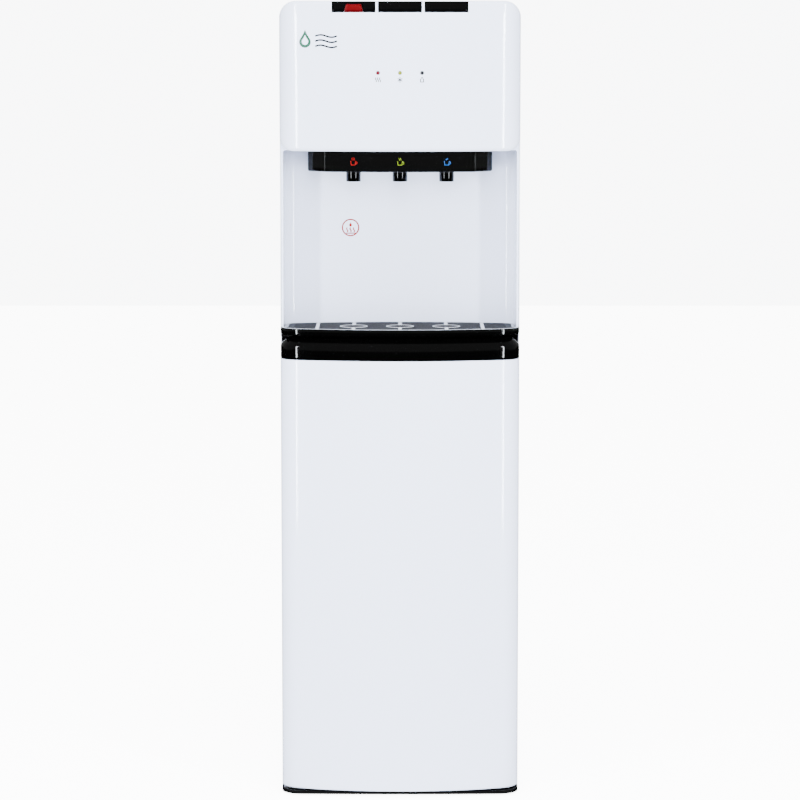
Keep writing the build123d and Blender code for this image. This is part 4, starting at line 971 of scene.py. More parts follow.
def relief(name: str, faces: Sequence[Sequence[Station]], surface: Callable[[float], float],
           proud: float, deep: float = 0.25, pitch: float = 3.0) -> bpy.types.Object:
    """A thin printed or set-in mark that follows a curved front.

    Args:
        name: the mark's name.
        faces: its outline polygons as (x, z) pairs, in millimetres.
        surface: y of the front at an x.
        proud: how far it stands out.
        deep: how far it is let in.
        pitch: spacing of the cuts that let it bend.

    Returns:
        The mark, closed.
    """
    mesh = bmesh.new()
    for outline in faces:
        mesh.faces.new([mesh.verts.new((x, 0, z)) for x, z in outline])
    bmesh.ops.remove_doubles(mesh, verts=mesh.verts, dist=1e-4)
    places = [vert.co.x for vert in mesh.verts]
    cut_x = math.ceil(min(places) / pitch) * pitch
    while cut_x < max(places):
        geometry = [*mesh.verts, *mesh.edges, *mesh.faces]
        bmesh.ops.bisect_plane(mesh, geom=geometry, plane_co=(cut_x, 0, 0), plane_no=(1, 0, 0), dist=1e-4)
        cut_x += pitch
    grown = bmesh.ops.extrude_face_region(mesh, geom=list(mesh.faces))["geom"]
    outer = {item for item in grown if isinstance(item, bmesh.types.BMVert)}
    for vert in mesh.verts:
        x = vert.co.x
        vert.co = Vector((x, surface(x) + (-proud if vert in outer else deep), vert.co.z)) * MM
    return link(name, mesh)


def band(outer: Sequence[Station], inner: Sequence[Station], whole: bool = True) -> list[list[Station]]:
    """Quads between two lines of equal length, joined end to end if whole.

    Args:
        outer: one line.
        inner: the other.
        whole: whether their ends are joined.

    Returns:
        The quads.
    """
    count = len(outer) if whole else len(outer) - 1
    size = len(outer)
    return [[outer[i], outer[(i + 1) % size], inner[(i + 1) % size], inner[i]] for i in range(count)]


def circle(x: float, z: float, radius: float, steps: int, start: float = 0,
           turn: float = 360) -> list[Station]:
    """Points round a circle or along an arc, in degrees.

    Args:
        x: centre's x.
        z: centre's z.
        radius: radius.
        steps: divisions.
        start: angle of the first point.
        turn: angle that the arc spans.

    Returns:
        The points.
    """
    open_end = 1 if turn < 360 else 0
    angles = [math.radians(start + turn * step / steps) for step in range(steps + open_end)]
    return [(x + radius * math.cos(angle), z + radius * math.sin(angle)) for angle in angles]


def stroke(points: Sequence[Station], width: float) -> list[list[Station]]:
    """Quads of a line drawn with an even width.

    Args:
        points: the line's points.
        width: its width.

    Returns:
        The quads.
    """
    left, right = [], []
    for index, (x, z) in enumerate(points):
        before, after = points[max(index - 1, 0)], points[min(index + 1, len(points) - 1)]
        run = Vector((after[0] - before[0], after[1] - before[1])).normalized() * width / 2
        left.append((x - run.y, z + run.x))
        right.append((x + run.y, z - run.x))
    return band(left, right, whole=False)


def wave(x: float, z: float, length: float, height: float, upright: bool = True,
         steps: int = 16) -> list[Station]:
    """Points of one wavy line, rising or level.

    Args:
        x: start's x.
        z: start's z.
        length: how far it runs.
        height: its sway.
        upright: whether it rises.
        steps: divisions.

    Returns:
        The points.
    """
    spots = []
    for step in range(steps + 1):
        share = step / steps
        sway = height * math.sin(share * 2 * math.pi)
        spots.append((x + sway, z + share * length) if upright else (x + share * length, z + sway))
    return spots


def drop_outline(x: float, z: float, radius: float) -> list[Station]:
    """A water drop: a round belly and a point above.

    Args:
        x: belly's centre.
        z: belly's centre height.
        radius: belly's radius.

    Returns:
        The outline.
    """
    neck, shoulder = radius * 0.32, z + radius * 1.35
    belly = circle(x, z, radius, 28, 150, 240)
    return [*belly, (x + neck, shoulder), (x, z + radius * 2.1), (x - neck, shoulder)]


def slab(name: str, faces: Sequence[Sequence[Station]], low: float, high: float) -> bpy.types.Object:
    """Plan polygons, as (x, y) pairs, made solid between two heights.

    Args:
        name: the solid's name.
        faces: the polygons.
        low: bottom height.
        high: top height.

    Returns:
        The solid.
    """
    mesh = bmesh.new()
    for outline in faces:
        mesh.faces.new([mesh.verts.new((x, y, 0)) for x, y in outline])
    bmesh.ops.remove_doubles(mesh, verts=mesh.verts, dist=1e-4)
    grown = bmesh.ops.extrude_face_region(mesh, geom=list(mesh.faces))["geom"]
    upper = {item for item in grown if isinstance(item, bmesh.types.BMVert)}
    for vert in mesh.verts:
        vert.co = Vector((vert.co.x, vert.co.y, high if vert in upper else low)) * MM
    return link(name, mesh)


def shrink_loop(loop: Sequence[Station], gap: float) -> list[Station]:
    """Move a closed plan loop inwards by a gap, with mitred corners; the loop runs anticlockwise.

    Args:
        loop: the loop's points.
        gap: how far they move; less than 0 is outwards.

    Returns:
        The moved points.
    """
    moved = []
    count = len(loop)
    for index, (x, y) in enumerate(loop):
        before = Vector(loop[index - 1])
        after = Vector(loop[(index + 1) % count])
        here = Vector((x, y))
        first, second = (here - before).normalized(), (after - here).normalized()
        normal = Vector((-first.y, first.x)) + Vector((-second.y, second.x))
        normal.normalize()
        reach = gap / max(0.4, normal.dot(Vector((-first.y, first.x))))
        moved.append((x + normal.x * reach, y + normal.y * reach))
    return moved


def fillet_corner(before: Station, corner: Station, after: Station, radius: float,
                  steps: int = 6) -> list[Station]:
    """Points that round one corner of a plan line.

    Args:
        before: the point before the corner.
        corner: the corner.
        after: the point after it.
        radius: radius of the round.
        steps: divisions of the round.

    Returns:
        The round's points.
    """
    here = Vector(corner)
    back, ahead = (Vector(before) - here).normalized(), (Vector(after) - here).normalized()
    half = back.angle(ahead) / 2
    trim = radius / math.tan(half)
    centre = here + (back + ahead).normalized() * radius / math.sin(half)
    start, end = here + back * trim - centre, here + ahead * trim - centre
    turn = start.angle_signed(end) * -1
    spots = []
    for step in range(steps + 1):
        angle = turn * step / steps
        spots.append((centre.x + start.x * math.cos(angle) - start.y * math.sin(angle),
                      centre.y + start.x * math.sin(angle) + start.y * math.cos(angle)))
    return spots


def rounded_rectangle(low: Station, high: Station, radius: float, steps: int) -> list[Station]:
    """Outline of a rectangle between two corners, with rounded corners.

    Args:
        low: its lower left corner.
        high: its upper right corner.
        radius: radius of its corners.
        steps: divisions of each corner.

    Returns:
        The outline, anticlockwise.
    """
    corners = [low, (high[0], low[1]), high, (low[0], high[1])]
    outline = []
    for index, corner in enumerate(corners):
        outline += fillet_corner(corners[index - 1], corner, corners[(index + 1) % 4], radius, steps)
    return outline


def risen(loop: Sequence[Station], z: float) -> list[Point]:
    """A plan loop as a ring at a height."""
    return [(x, y, z) for x, y in loop]


# ------------------------------------------------------------------ the cooler's assemblies

@dataclass
class Head:
    """Front cover of the head with its keys, lock, lamps and printed signs."""

    wall: float = 3.0
    key_half: float = 28.0
    key_places: tuple[float, ...] = (-59.0, 0.0, 59.0)
    notch_low: float = 1018.3
    notch_back: float = -139.6
    key_back: float = -100.0
    lamp_places: tuple[float, ...] = (-28.0, 0.0, 28.0)
    lamp_z: float = 942.0
    lamp_radius: float = 2.6
    lamp_start: float = -184.0
    lamp_depth: float = 12.0
    throat_half: float = 90.0
    sign_z: float = 933.2
    emblem: tuple[float, float, float] = (-121.0, 981.0, 7.4)

    def cover(self) -> None:
        """Mould the cover: a softly edged shell with key notches, lamp holes and a throat for the taps."""
        shell = HeadForm().solid("head_cover_moulding")
        cut(shell, HeadForm(inset=self.wall, edge=5).solid("tool", HEAD_BACK + 1))
        for x in self.key_places:
            low = (x - self.key_half, AHEAD, self.notch_low)
            cut(shell, box_tool(low, (x + self.key_half, self.notch_back, HEIGHT + 2)))
        for x in self.lamp_places:
            hole = bore(self.lamp_radius, 0, self.lamp_depth)
            cut(shell, lathe("tool", hole, (x, self.lamp_start, self.lamp_z), (0, 1, 0), 48))
        throat = (self.throat_half, HEAD_BACK + 2, HEAD_BOTTOM + self.wall + 1)
        cut(shell, box_tool((-self.throat_half, -154, HEAD_BOTTOM - 1), throat))
        complete(shell, (0.45, 2, 50), Finish.white_gloss, "cabinet", ["head_cover"])

    def keys(self) -> None:
        """Trim each key to the head's soft form."""
        for name in ("hot", "warm", "cold"):
            key = copy_node(f"{name}_button", f"{name}_button_moulding")
            cut(key, HeadForm(inset=0.5).solid("tool", self.key_back), "INTERSECT")
            complete(key, (0.7, 3, 40), Finish.black_gloss, f"{name}_key", [f"{name}_button"])
        lock = copy_node("child_lock", "child_lock_moulding")
        cut(lock, HeadForm(inset=0.35, edge=6).solid("tool", self.key_back), "INTERSECT")
        complete(lock, (0.5, 3, 40), Finish.red_plastic, "lock_tab", ["child_lock"])

    def signs(self) -> None:
        """Print the drop emblem and the three lamp signs."""
        x, z, radius = self.emblem
        outer, inner = drop_outline(x, z, radius), drop_outline(x, z + 0.4, radius * 0.55)
        drop = relief("emblem_drop", band(outer, inner), FRONT_BOW.depth, 0.15)
        dress(drop, Finish.teal_mark, "cabinet")
        lines = [stroke(wave(x + 13, z - 5.5 + 6.5 * row, 28, 1.5, False), 2.1) for row in range(3)]
        ripples = [relief("ripple", line, FRONT_BOW.depth, 0.15) for line in lines]
        dress(join("emblem_ripples", ripples), Finish.grey_print, "cabinet")
        left, middle, right = self.lamp_places
        marks = [*self._heat_sign(left), *self._cold_sign(middle), *self._bottle_sign(right)]
        prints = [relief("sign", faces, FRONT_BOW.depth, 0.02) for faces in marks]
        dress(join("lamp_signs", prints), Finish.grey_print, "cabinet")

    def _heat_sign(self, x: float) -> list:
        """Three rising waves."""
        low = self.sign_z - 2.9
        return [stroke(wave(x + shift, low, 5.8, 0.7), 1.05) for shift in (-2.6, 0, 2.6)]

    def _cold_sign(self, x: float) -> list:
        """Six crystal arms, drawn as three crossing pairs that meet at the middle.

        Args:
            x: the sign's middle.

        Returns:
            The sign's polygons, part by part.
        """
        arms = []
        for turn in range(6):
            angle = math.radians(30 + 60 * turn)
            start = (x + 0.9 * math.cos(angle), self.sign_z + 0.9 * math.sin(angle))
            end = (x + 3.4 * math.cos(angle), self.sign_z + 3.4 * math.sin(angle))
            arms.append(stroke([start, end], 0.95))
        return [*arms, [circle(x, self.sign_z, 1.15, 16)]]

    def _bottle_sign(self, x: float) -> list:
        """A bottle seen from the side.

        Args:
            x: the sign's middle.

        Returns:
            The sign's polygons, part by part.
        """
        z = self.sign_z
        right = [(2.4, -3.2), (2.4, 0.8), (1.2, 2.0), (1.2, 3.4)]
        whole = right + [(-a, b) for a, b in reversed(right)]
        outer = [(x + a, z + b) for a, b in whole]
        inner = [(x + a * 0.52, z + b * 0.72) for a, b in whole]
        return [band(outer, inner)]

    def build(self) -> None:
        """Build the head."""
        self.cover()
        self.keys()
        self.signs()


@dataclass
class Taps:
    """Black housing under the head with its gloss lens, nozzles and signs."""

    setback: float = 20.0
    lens_half: float = 97.0
    half: float = 119.0
    back: float = -80.0
    low: float = 815.0
    wall: float = 4.5
    margin: float = 1.5
    places: tuple[float, ...] = (-60.0, 0.0, 60.0)
    nozzle_y: float = -132.5
    nozzle_radius: float = 9.5
    nozzle_drop: float = 13.0
    stem_top: float = 848.0
    stem_hole: float = 6.1
    stem_depth: float = 6.0
    floor: float = 2.5
    sign_z: float = 828.4

    def face(self, x: float) -> float:
        """Y of the housing's front at an x."""
        return FRONT_BOW.depth(x, self.setback)

    def loop(self, inset: float = 0.0) -> list[Station]:
        """Plan of the housing, anticlockwise from its left front corner, inset all round.

        Args:
            inset: how far inside the plan the loop runs.

        Returns:
            (x, y) pairs.
        """
        steps = 48
        grow = inset * (math.sqrt(2) - 1)
        edge, half, back = self.lens_half - grow, self.half - inset, self.back - inset
        xs = [edge * (2 * step / steps - 1) for step in range(steps + 1)]
        front = [(x, FRONT_BOW.depth(x, self.setback + inset)) for x in xs]
        side_y = self.face(self.lens_half) + self.half - self.lens_half + grow
        knee, heel = (half, side_y), (half, back)
        right = fillet_corner(front[-2], front[-1], knee, max(0.4, 2.0 - inset))
        right += fillet_corner(front[-1], knee, heel, max(0.4, 3.5 - inset))
        right += fillet_corner(knee, heel, (0, back), max(0.4, 2.0 - inset))
        left = [(-x, y) for x, y in reversed(right)]
        return [*left[-7:], *front[1:-1], *right, *left[:-7]]

    def housing(self) -> None:
        """Mould the housing: rounded below, open above, with a lens seat and three stem holes."""
        stations = rounded_column(self.low, HEAD_BOTTOM, 2.2, 0.3)
        body = link("tap_housing_moulding", ring_stack([risen(self.loop(gap), z) for gap, z in stations]))
        hollow = [risen(self.loop(self.wall), z) for z in (self.low + self.floor, HEAD_BOTTOM + 1)]
        cut(body, link("tool", ring_stack(hollow)))
        cut(body, relief("tool", [self._strip(0.0)], self.face, 1.0, 2.0, 4.0))
        for x in self.places:
            hole = bore(self.stem_hole, 0, self.stem_depth)
            cut(body, lathe("tool", hole, (x, self.nozzle_y, self.low - 1), steps=48))
        complete(body, (0.35, 2, 50), Finish.black_gloss, "cabinet", ["tap_housing"])

    def _strip(self, gap: float) -> list[Station]:
        """Front outline of the lens or its seat.

        Args:
            gap: how far inside the seat the outline runs.

        Returns:
            (x, z) pairs.
        """
        half = self.lens_half - self.margin - gap
        low, high = self.low + self.margin + gap, HEAD_BOTTOM - self.margin - gap
        return rounded_rectangle((-half, low), (half, high), 2.0 - gap, 5)

    def lens(self) -> None:
        """Make the gloss lens and its three coloured signs."""
        lens = relief("tap_lens_moulding", [self._strip(0.12)], self.face, 0.0, 1.9, 3.0)
        complete(lens, (0.35, 2, 50), Finish.black_gloss, "cabinet", ["tap_lens"])
        prints = (Finish.red_print, Finish.lime_print, Finish.blue_print)
        for name, x, finish in zip(("hot", "warm", "cold"), self.places, prints):
            drawn = [relief("mark", faces, self.face, 0.05, 0.2) for faces in self._cup(x, name)]
            dress(join(f"tap_sign_{name}", drawn), finish, "cabinet")

    def _cup(self, x: float, name: str) -> list:
        """A cup with a handle, and steam, a ripple or a crystal over it.

        Args:
            x: the sign's middle.
            name: hot, warm or cold.

        Returns:
            The sign's polygons, part by part.
        """
        z = self.sign_z - 4.6
        outer = [(x - 3.6, z + 5.4), (x - 2.9, z), (x + 2.9, z), (x + 3.6, z + 5.4)]
        inner = [(x - 2.8, z + 5.4), (x - 2.2, z + 0.8), (x + 2.2, z + 0.8), (x + 2.8, z + 5.4)]
        handle_out, handle_in = (circle(x + 3.3, z + 3.1, r, 14, -80, 160) for r in (2.0, 1.3))
        shapes = [band(outer, inner, whole=False), band(handle_out, handle_in, whole=False)]
        if name == "hot":
            shapes += [stroke(wave(x + shift, z + 6.3, 3.4, 0.4), 0.6) for shift in (-1.6, 0, 1.6)]
        elif name == "warm":
            shapes += [stroke(wave(x + shift, z + 6.3, 3.0, 0.4), 0.6) for shift in (-0.9, 0.9)]
        else:
            shapes += [stroke([(x - 1.9, z + 7.8), (x + 1.9, z + 7.8)], 0.6)]
            shapes += [stroke([(x - 0.9, z + 6.4), (x + 0.9, z + 9.2)], 0.6)]
        return shapes

    def nozzles(self) -> None:
        """Turn the three nozzles with their stems."""
        low, radius = self.low - self.nozzle_drop, self.nozzle_radius
        profile = [(radius - 1.5, low), (radius - 0.7, low), (radius - 0.2, low + 0.25), (radius, low + 0.8),
                   (radius, self.low - 0.5), (radius - 0.4, self.low), (6.0, self.low), (6.0, self.stem_top),
                   (3.5, self.stem_top), (3.5, low + 4)]
        parts = [lathe("nozzle", profile, (x, self.nozzle_y, 0)) for x in self.places]
        nozzles = join("nozzles_moulding", parts)
        smooth(nozzles, 30)
        dress(nozzles, Finish.black_gloss, "cabinet", ["nozzles"])

    def build(self) -> None:
        """Build the taps."""
        self.housing()
        self.lens()
        self.nozzles()


@dataclass
class Recess:
    """Splash panel behind the taps with its caution ring."""

    wall: float = 2.5
    low: float = 606.3
    cove: float = 3.0
    gusset_half: float = 131.0
    gusset_top: float = 866.0
    ring_x: float = -65.0
    ring_z: float = 738.0
    ring_radius: float = 11.5

    def panel(self, opening: Sequence[Station]) -> None:
        """Mould the panel: cheeks, a bowed back, a coved ceiling round the taps and two corner gussets.

        Args:
            opening: the taps' plan, which the ceiling leaves open.
        """
        top = HEAD_BOTTOM + self.wall
        panel = bowed_solid("splash_panel_moulding", RECESS_BOW, CHEEK_FRONT,
                            [(-self.wall, self.low), (-self.wall, top)])
        for side in (-1, 1):
            near, far = sorted((side * self.gusset_half, side * (RECESS_BOW.half + self.wall)))
            high = (far, CHEEK_FRONT + self.wall, self.gusset_top)
            cut(panel, box_tool((near, CHEEK_FRONT, HEAD_BOTTOM + 0.5), high), "UNION")
        crown = [(gap, HEAD_BOTTOM - drop) for gap, drop in reversed(round_over(self.cove, 8))]
        cut(panel, bowed_solid("tool", RECESS_BOW, CHEEK_FRONT - 1, [(0, self.low - 1), *crown]))
        loop = shrink_loop(opening, -0.5)
        cut(panel, link("tool", ring_stack([risen(loop, z) for z in (HEAD_BOTTOM - 8, top + 1)])))
        complete(panel, (0.7, 3, 55), Finish.white_gloss, "cabinet", ["splash_panel"])

    def caution(self) -> None:
        """Print a generic warning of hot water: a ring round a drop over rising waves."""
        x, z, radius = self.ring_x, self.ring_z, self.ring_radius
        ring = band(circle(x, z, radius, 72), circle(x, z, radius - 1.7, 72))
        dress(relief("caution_ring", ring, RECESS_BOW.depth, 0.15), Finish.red_print, "cabinet")
        drop = [drop_outline(x, z + 3.2, 1.9)]
        waves = [stroke(wave(x + shift, z - 6.0, 6.0, 0.8), 1.5) for shift in (-4.4, 0, 4.4)]
        pad = [stroke([(x - 6.2, z - 7.4), (x + 6.2, z - 7.4)], 1.3)]
        marks = [relief("mark", faces, RECESS_BOW.depth, 0.12) for faces in (drop, *waves, *pad)]
        dress(join("caution_signs", marks), Finish.red_print, "cabinet")

    def build(self, opening: Sequence[Station]) -> None:
        """Build the recess round the taps' plan."""
        self.panel(opening)
        self.caution()


@dataclass
class Tray:
    """Drip tray, with a silver strip on its rim that is a painted highlight, and raised marks on the grille
    in it whose silver is a painted reflection.
    """

    low: float = 605.3
    basin_low: float = 588.3
    basin_half: float = 138.0
    basin_front: float = -125.97
    basin_back: float = -85.2
    floor: float = 2.4
    margin: float = 5.0
    plate: float = 3.0
    side_gap: float = 1.0
    bar_x: float = 107.0
    bar_width: float = 4.4
    bar_run: Station = (-165.6, -76.0)
    arm_run: Station = (-171.5, -69.0)
    dish_radius: float = 18.0
    dishes: tuple[float, ...] = (-60.0, 0.0, 60.0)
    dish_y: float = -132.5

    def outline(self, name: str, stations: Sequence[Station], inset: float) -> bpy.types.Object:
        """A solid of the tray's plan: the bowed front, and the recess's plan behind it.

        Args:
            name: the solid's name.
            stations: (inset, height) pairs from the bottom up.
            inset: how far inside the recess's mouth the two halves meet.

        Returns:
            The solid.
        """
        low, high = stations[0][1], stations[-1][1]
        solid = bowed_solid(name, FRONT_BOW, HEAD_BACK + 8, stations)
        cut(solid, box_tool((-170, HEAD_BACK - inset, low - 5), (170, 0, high + 5)))
        rear = [(gap + self.side_gap, z) for gap, z in stations]
        cut(solid, bowed_solid("tool", RECESS_BOW, HEAD_BACK - inset - 1.5, rear), "UNION")
        return solid

    def body(self) -> None:
        """Mould the tray with its basin, and set on its rim a thin silver strip, a painted highlight of the
        glossy black edge.
        """
        tray = self.outline("drip_tray_moulding", rounded_column(self.low, TRAY_TOP, 1.4, 1.0), 0)
        basin = box_tool((-self.basin_half, self.basin_front, self.basin_low),
                         (self.basin_half, self.basin_back, self.low + 1))
        cut(tray, basin, "UNION")
        seat = TRAY_TOP - self.plate - 0.3
        cut(tray, self.outline("tool", [(self.margin, seat), (self.margin, TRAY_TOP + 2)], self.margin))
        inner = self.margin + 4
        cut(tray, self.outline("tool", [(inner, self.low + self.floor), (inner, TRAY_TOP + 2)], inner))
        wall = self.floor
        cut(tray, box_tool((-self.basin_half + wall, self.basin_front + wall, self.basin_low + wall),
                           (self.basin_half - wall, self.basin_back - wall, TRAY_TOP + 2)))
        complete(tray, (0.3, 2, 50), Finish.black_gloss, "tray", ["drip_tray"])
        # Painted highlight: this thin silver strip along the front edge stands for the light reflected by
        # the tray's polished black rim.
        strip = band(FRONT_BOW.line(3.9), FRONT_BOW.line(1.5), whole=False)
        rim = slab("tray_rim_painted_highlight", strip, TRAY_TOP - 0.5, TRAY_TOP + 0.15)
        complete(rim, (0.12, 2, 50), Finish.silver_trim, "tray")

    def grille_marks(self) -> None:
        """Set the raised front-to-back bars and the dishes' rings on the grille; their pale silver is a
        painted reflection of the glossy ribs.
        """
        runs = [(side * self.bar_x, *self.bar_run) for side in (-1, 1)]
        rings = []
        front, rear = self.arm_run
        for x in self.dishes:
            runs += [(x, front, self.dish_y - self.dish_radius), (x, self.dish_y + self.dish_radius, rear)]
            outer, inner = (circle(x, self.dish_y, self.dish_radius - gap, 72) for gap in (0, 1.5))
            rings.append(slab("ring", band(outer, inner), TRAY_TOP + 0.3, TRAY_TOP + 1.05))
        # Painted reflection: the bars and rings are real raised ribs, but their silver colour stands for the
        # light they reflect from the wall above.
        bars = join("grille_bars_painted_reflection", [self._bar(*run) for run in runs])
        complete(bars, (0.25, 2, 50), Finish.silver_trim, "grille")
        complete(join("dish_rings_painted_reflection", rings), (0.2, 2, 50), Finish.silver_trim, "grille")

    def _bar(self, x: float, start: float, end: float) -> bpy.types.Object:
        """One raised bar from front to back.

        Args:
            x: the bar's middle.
            start: y of its front end.
            end: y of its back end.

        Returns:
            The bar.
        """
        half = self.bar_width / 2
        loop = rounded_rectangle((x - half, start), (x + half, end), 1.0, 4)
        return slab("bar", [loop], TRAY_TOP - 1.0, TRAY_TOP + 0.45)

    def build(self) -> None:
        """Build the tray."""
        self.body()
        self.grille_marks()


@dataclass
class Door:
    """Bowed door with its black top trim and finger channel."""

    low: float = 8.4
    high: float = 573.3
    wall: float = 2.5
    trim_low: float = 573.6
    trim_top: float = 602.2
    trim_knee: float = 591.0
    slope: float = 9.0
    lip: float = 4.0
    channel: float = 13.0
    channel_low: float = 586.0
    channel_half: float = 120.0
    hinge: tuple[float, float] = (-143.0, -139.99)
    pin: float = 2.6

    def skin(self) -> None:
        """Mould the door's outer skin, open behind."""
        stations = rounded_column(self.low, self.high, 2.2, 1.2)
        skin = bowed_solid("door_skin_moulding", FRONT_BOW, DOOR_BACK, stations)
        hollow = [(self.wall, self.low + self.wall), (self.wall, self.high - self.wall)]
        cut(skin, bowed_solid("tool", FRONT_BOW, DOOR_BACK + 1, hollow))
        self._bore(skin, self.low - 1, self.low + self.wall + 1)
        complete(skin, (0.3, 2, 50), Finish.white_gloss, "door", ["door_skin"])

    def _bore(self, piece: bpy.types.Object, low: float, high: float) -> None:
        """Cut the hinge pin's hole."""
        cut(piece, lathe("tool", bore(self.pin, low, high), (*self.hinge, 0), steps=40))

    def trim(self) -> None:
        """Mould the trim: an upright face, a slope up to a round lip and a finger channel behind it."""
        lip_low = self.trim_top - 1.2
        share = (lip_low - self.trim_knee) / (self.trim_top - self.trim_knee)
        lip_inset = self.slope * share
        stations = [*rounded_column(self.trim_low, self.trim_knee, 0.8, 0.05)[:7],
                    (0.0, self.trim_knee - 1.6), (0.09, self.trim_knee - 0.4), (0.42, self.trim_knee + 0.4),
                    (self.slope * 0.12, self.trim_knee + 1.5), (self.slope * 0.5, self.trim_knee + 5.62),
                    (lip_inset, lip_low), (lip_inset + 0.75, self.trim_top - 0.45),
                    (lip_inset + 1.5, self.trim_top - 0.12), (lip_inset + 2.4, self.trim_top)]
        trim = bowed_solid("door_top_trim_moulding", FRONT_BOW, DOOR_BACK, stations)
        start = self.slope + self.lip
        outer = [p for p in FRONT_BOW.line(start, 120) if abs(p[0]) <= self.channel_half]
        inner = [(x, FRONT_BOW.depth(x, start + self.channel)) for x, _ in outer]
        cut(trim, slab("tool", band(inner, outer, whole=False), self.channel_low, self.trim_top + 2))
        self._bore(trim, self.trim_top - 15, self.trim_top + 1)
        complete(trim, (0.5, 3, 50), Finish.black_gloss, "door", ["door_top_trim"])

    def build(self) -> None:
        """Build the door."""
        self.skin()
        self.trim()


@dataclass
class TopCover:
    """Lid behind the head, with rounded shoulders and a soft back edge."""

    low: float = 1009.0
    front: float = -131.49
    back: float = 171.2
    wall: float = 2.5
    shoulder: float = 22.0
    back_round: float = 1.2

    def build(self) -> None:
        """Build the lid as an open-bottomed shell."""
        form = HeadForm(low=self.low, upper_corner=self.shoulder, lower_corner=0.6, across=40, upright=8,
                        turns=10)
        ends = [(gap, self.back - drop) for gap, drop in reversed(round_over(self.back_round))]
        lid = self._sweep("top_cover_moulding", form, [(0.0, self.front), (0.0, 0.0), *ends])
        inner = HeadForm(low=self.low - 12, upper_corner=self.shoulder, lower_corner=3, inset=self.wall,
                         turns=10)
        cut(lid, self._sweep("tool", inner, [(0.0, self.front - 1), (0.0, self.back - self.wall)]))
        complete(lid, (0.3, 2, 50), Finish.white_gloss, "cabinet", ["top_cover"])

    @staticmethod
    def _sweep(name: str, form: HeadForm, stations: Sequence[Station]) -> bpy.types.Object:
        """Sweep an elevation along the depth through (inset, y) stations.

        Args:
            name: the solid's name.
            form: the form whose elevation is swept.
            stations: the (inset, y) pairs, from the front.

        Returns:
            The solid.
        """
        rings = []
        for gap, y in stations:
            rings.append([(x, y, z) for side in form.sides(gap) for x, z in side[:-1]])
        return link(name, ring_stack(rings))


@dataclass
class Springs:
    """Coil springs under the keys."""

    radius: float = 2.75
    wire: float = 0.42
    turns: float = 7.0
    low: float = 1010.45
    high: float = 1029.25
    y: float = -156.0
    keep: float = 0.944
    places: tuple[float, ...] = (-45.0, 14.0, 73.0)
    seat: float = 1010.0

    def coil(self, name: str, x: float) -> bpy.types.Object:
        """Wind one spring.

        Args:
            name: the spring's name.
            x: its axis.

        Returns:
            The spring.
        """
        steps, sides = int(self.turns * 28), 10
        rings = []
        for step in range(steps + 1):
            share = step / steps
            angle = 2 * math.pi * self.turns * share
            ring = []
            for side in range(sides):
                roll = 2 * math.pi * side / sides
                reach = self.radius + self.wire * math.cos(roll)
                height = self.low + (self.high - self.low) * share + self.wire * math.sin(roll)
                ring.append((x + reach * math.cos(angle), self.y + reach * math.sin(angle), height))
            rings.append(ring)
        return link(name, ring_stack(rings))

    def build(self) -> None:
        """Wind the three springs."""
        for name, x in zip(("hot", "warm", "cold"), self.places):
            spring = self.coil(f"{name}_button_coil", x)
            smooth(spring, 50)
            dress(spring, Finish.steel, "cabinet", [f"{name}_button_spring"])
            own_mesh(spring)


@dataclass
class ProbeHose:
    """Corrugated suction hose over the bottle probe."""

    x: float = 127.8
    y: float = 144.0
    low: float = 522.0
    high: float = 574.0
    radius: float = 5.0
    bore: float = 3.0
    ribs: int = 17
    keep: float = 0.423

    def build(self) -> None:
        """Turn the hose."""
        groove, shoulder = self.radius - 0.9, self.radius - 0.25
        outer = []
        run = (self.high - self.low) / self.ribs
        for rib in range(self.ribs):
            start = self.low + rib * run
            outer += [(groove, start + run * 0.02), (shoulder, start + run * 0.28),
                      (self.radius, start + run * 0.5), (shoulder, start + run * 0.72)]
        profile = [(self.bore, self.low), (groove, self.low), *outer[1:], (groove, self.high),
                   (self.bore, self.high)]
        hose = lathe("probe_hose_bellows", profile, (self.x, self.y, 0), steps=40)
        smooth(hose, 60)
        dress(hose, Finish.soft_tube, "cabinet", ["probe_hose"])
        self.high * MM
        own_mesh(hose)


@dataclass
class FrameDressing:
    """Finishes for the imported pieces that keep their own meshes."""

    built: set[str]
    most_faces: int = 3000
    thin: float = 0.006
    edge: float = 0.35
    thin_edge: float = 0.15

    def build(self) -> None:
        """Dress every kept node: its slot's finish, softened edges and smooth rounds."""
        for name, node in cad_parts.items():
            if name in self.built:
                continue
            finish = Finish[node.data.materials[0].name.split(".")[0]]
            node.data.materials.clear()
            node.data.materials.append(finish.material)
            if len(node.data.polygons) < self.most_faces:
                soften(node, self.edge if min(node.dimensions) > self.thin else self.thin_edge, 2, 45)
            smooth(node, 30)
            log.info("%s: kept, in %s", name, finish.name)


# ------------------------------------------------------------------ studio

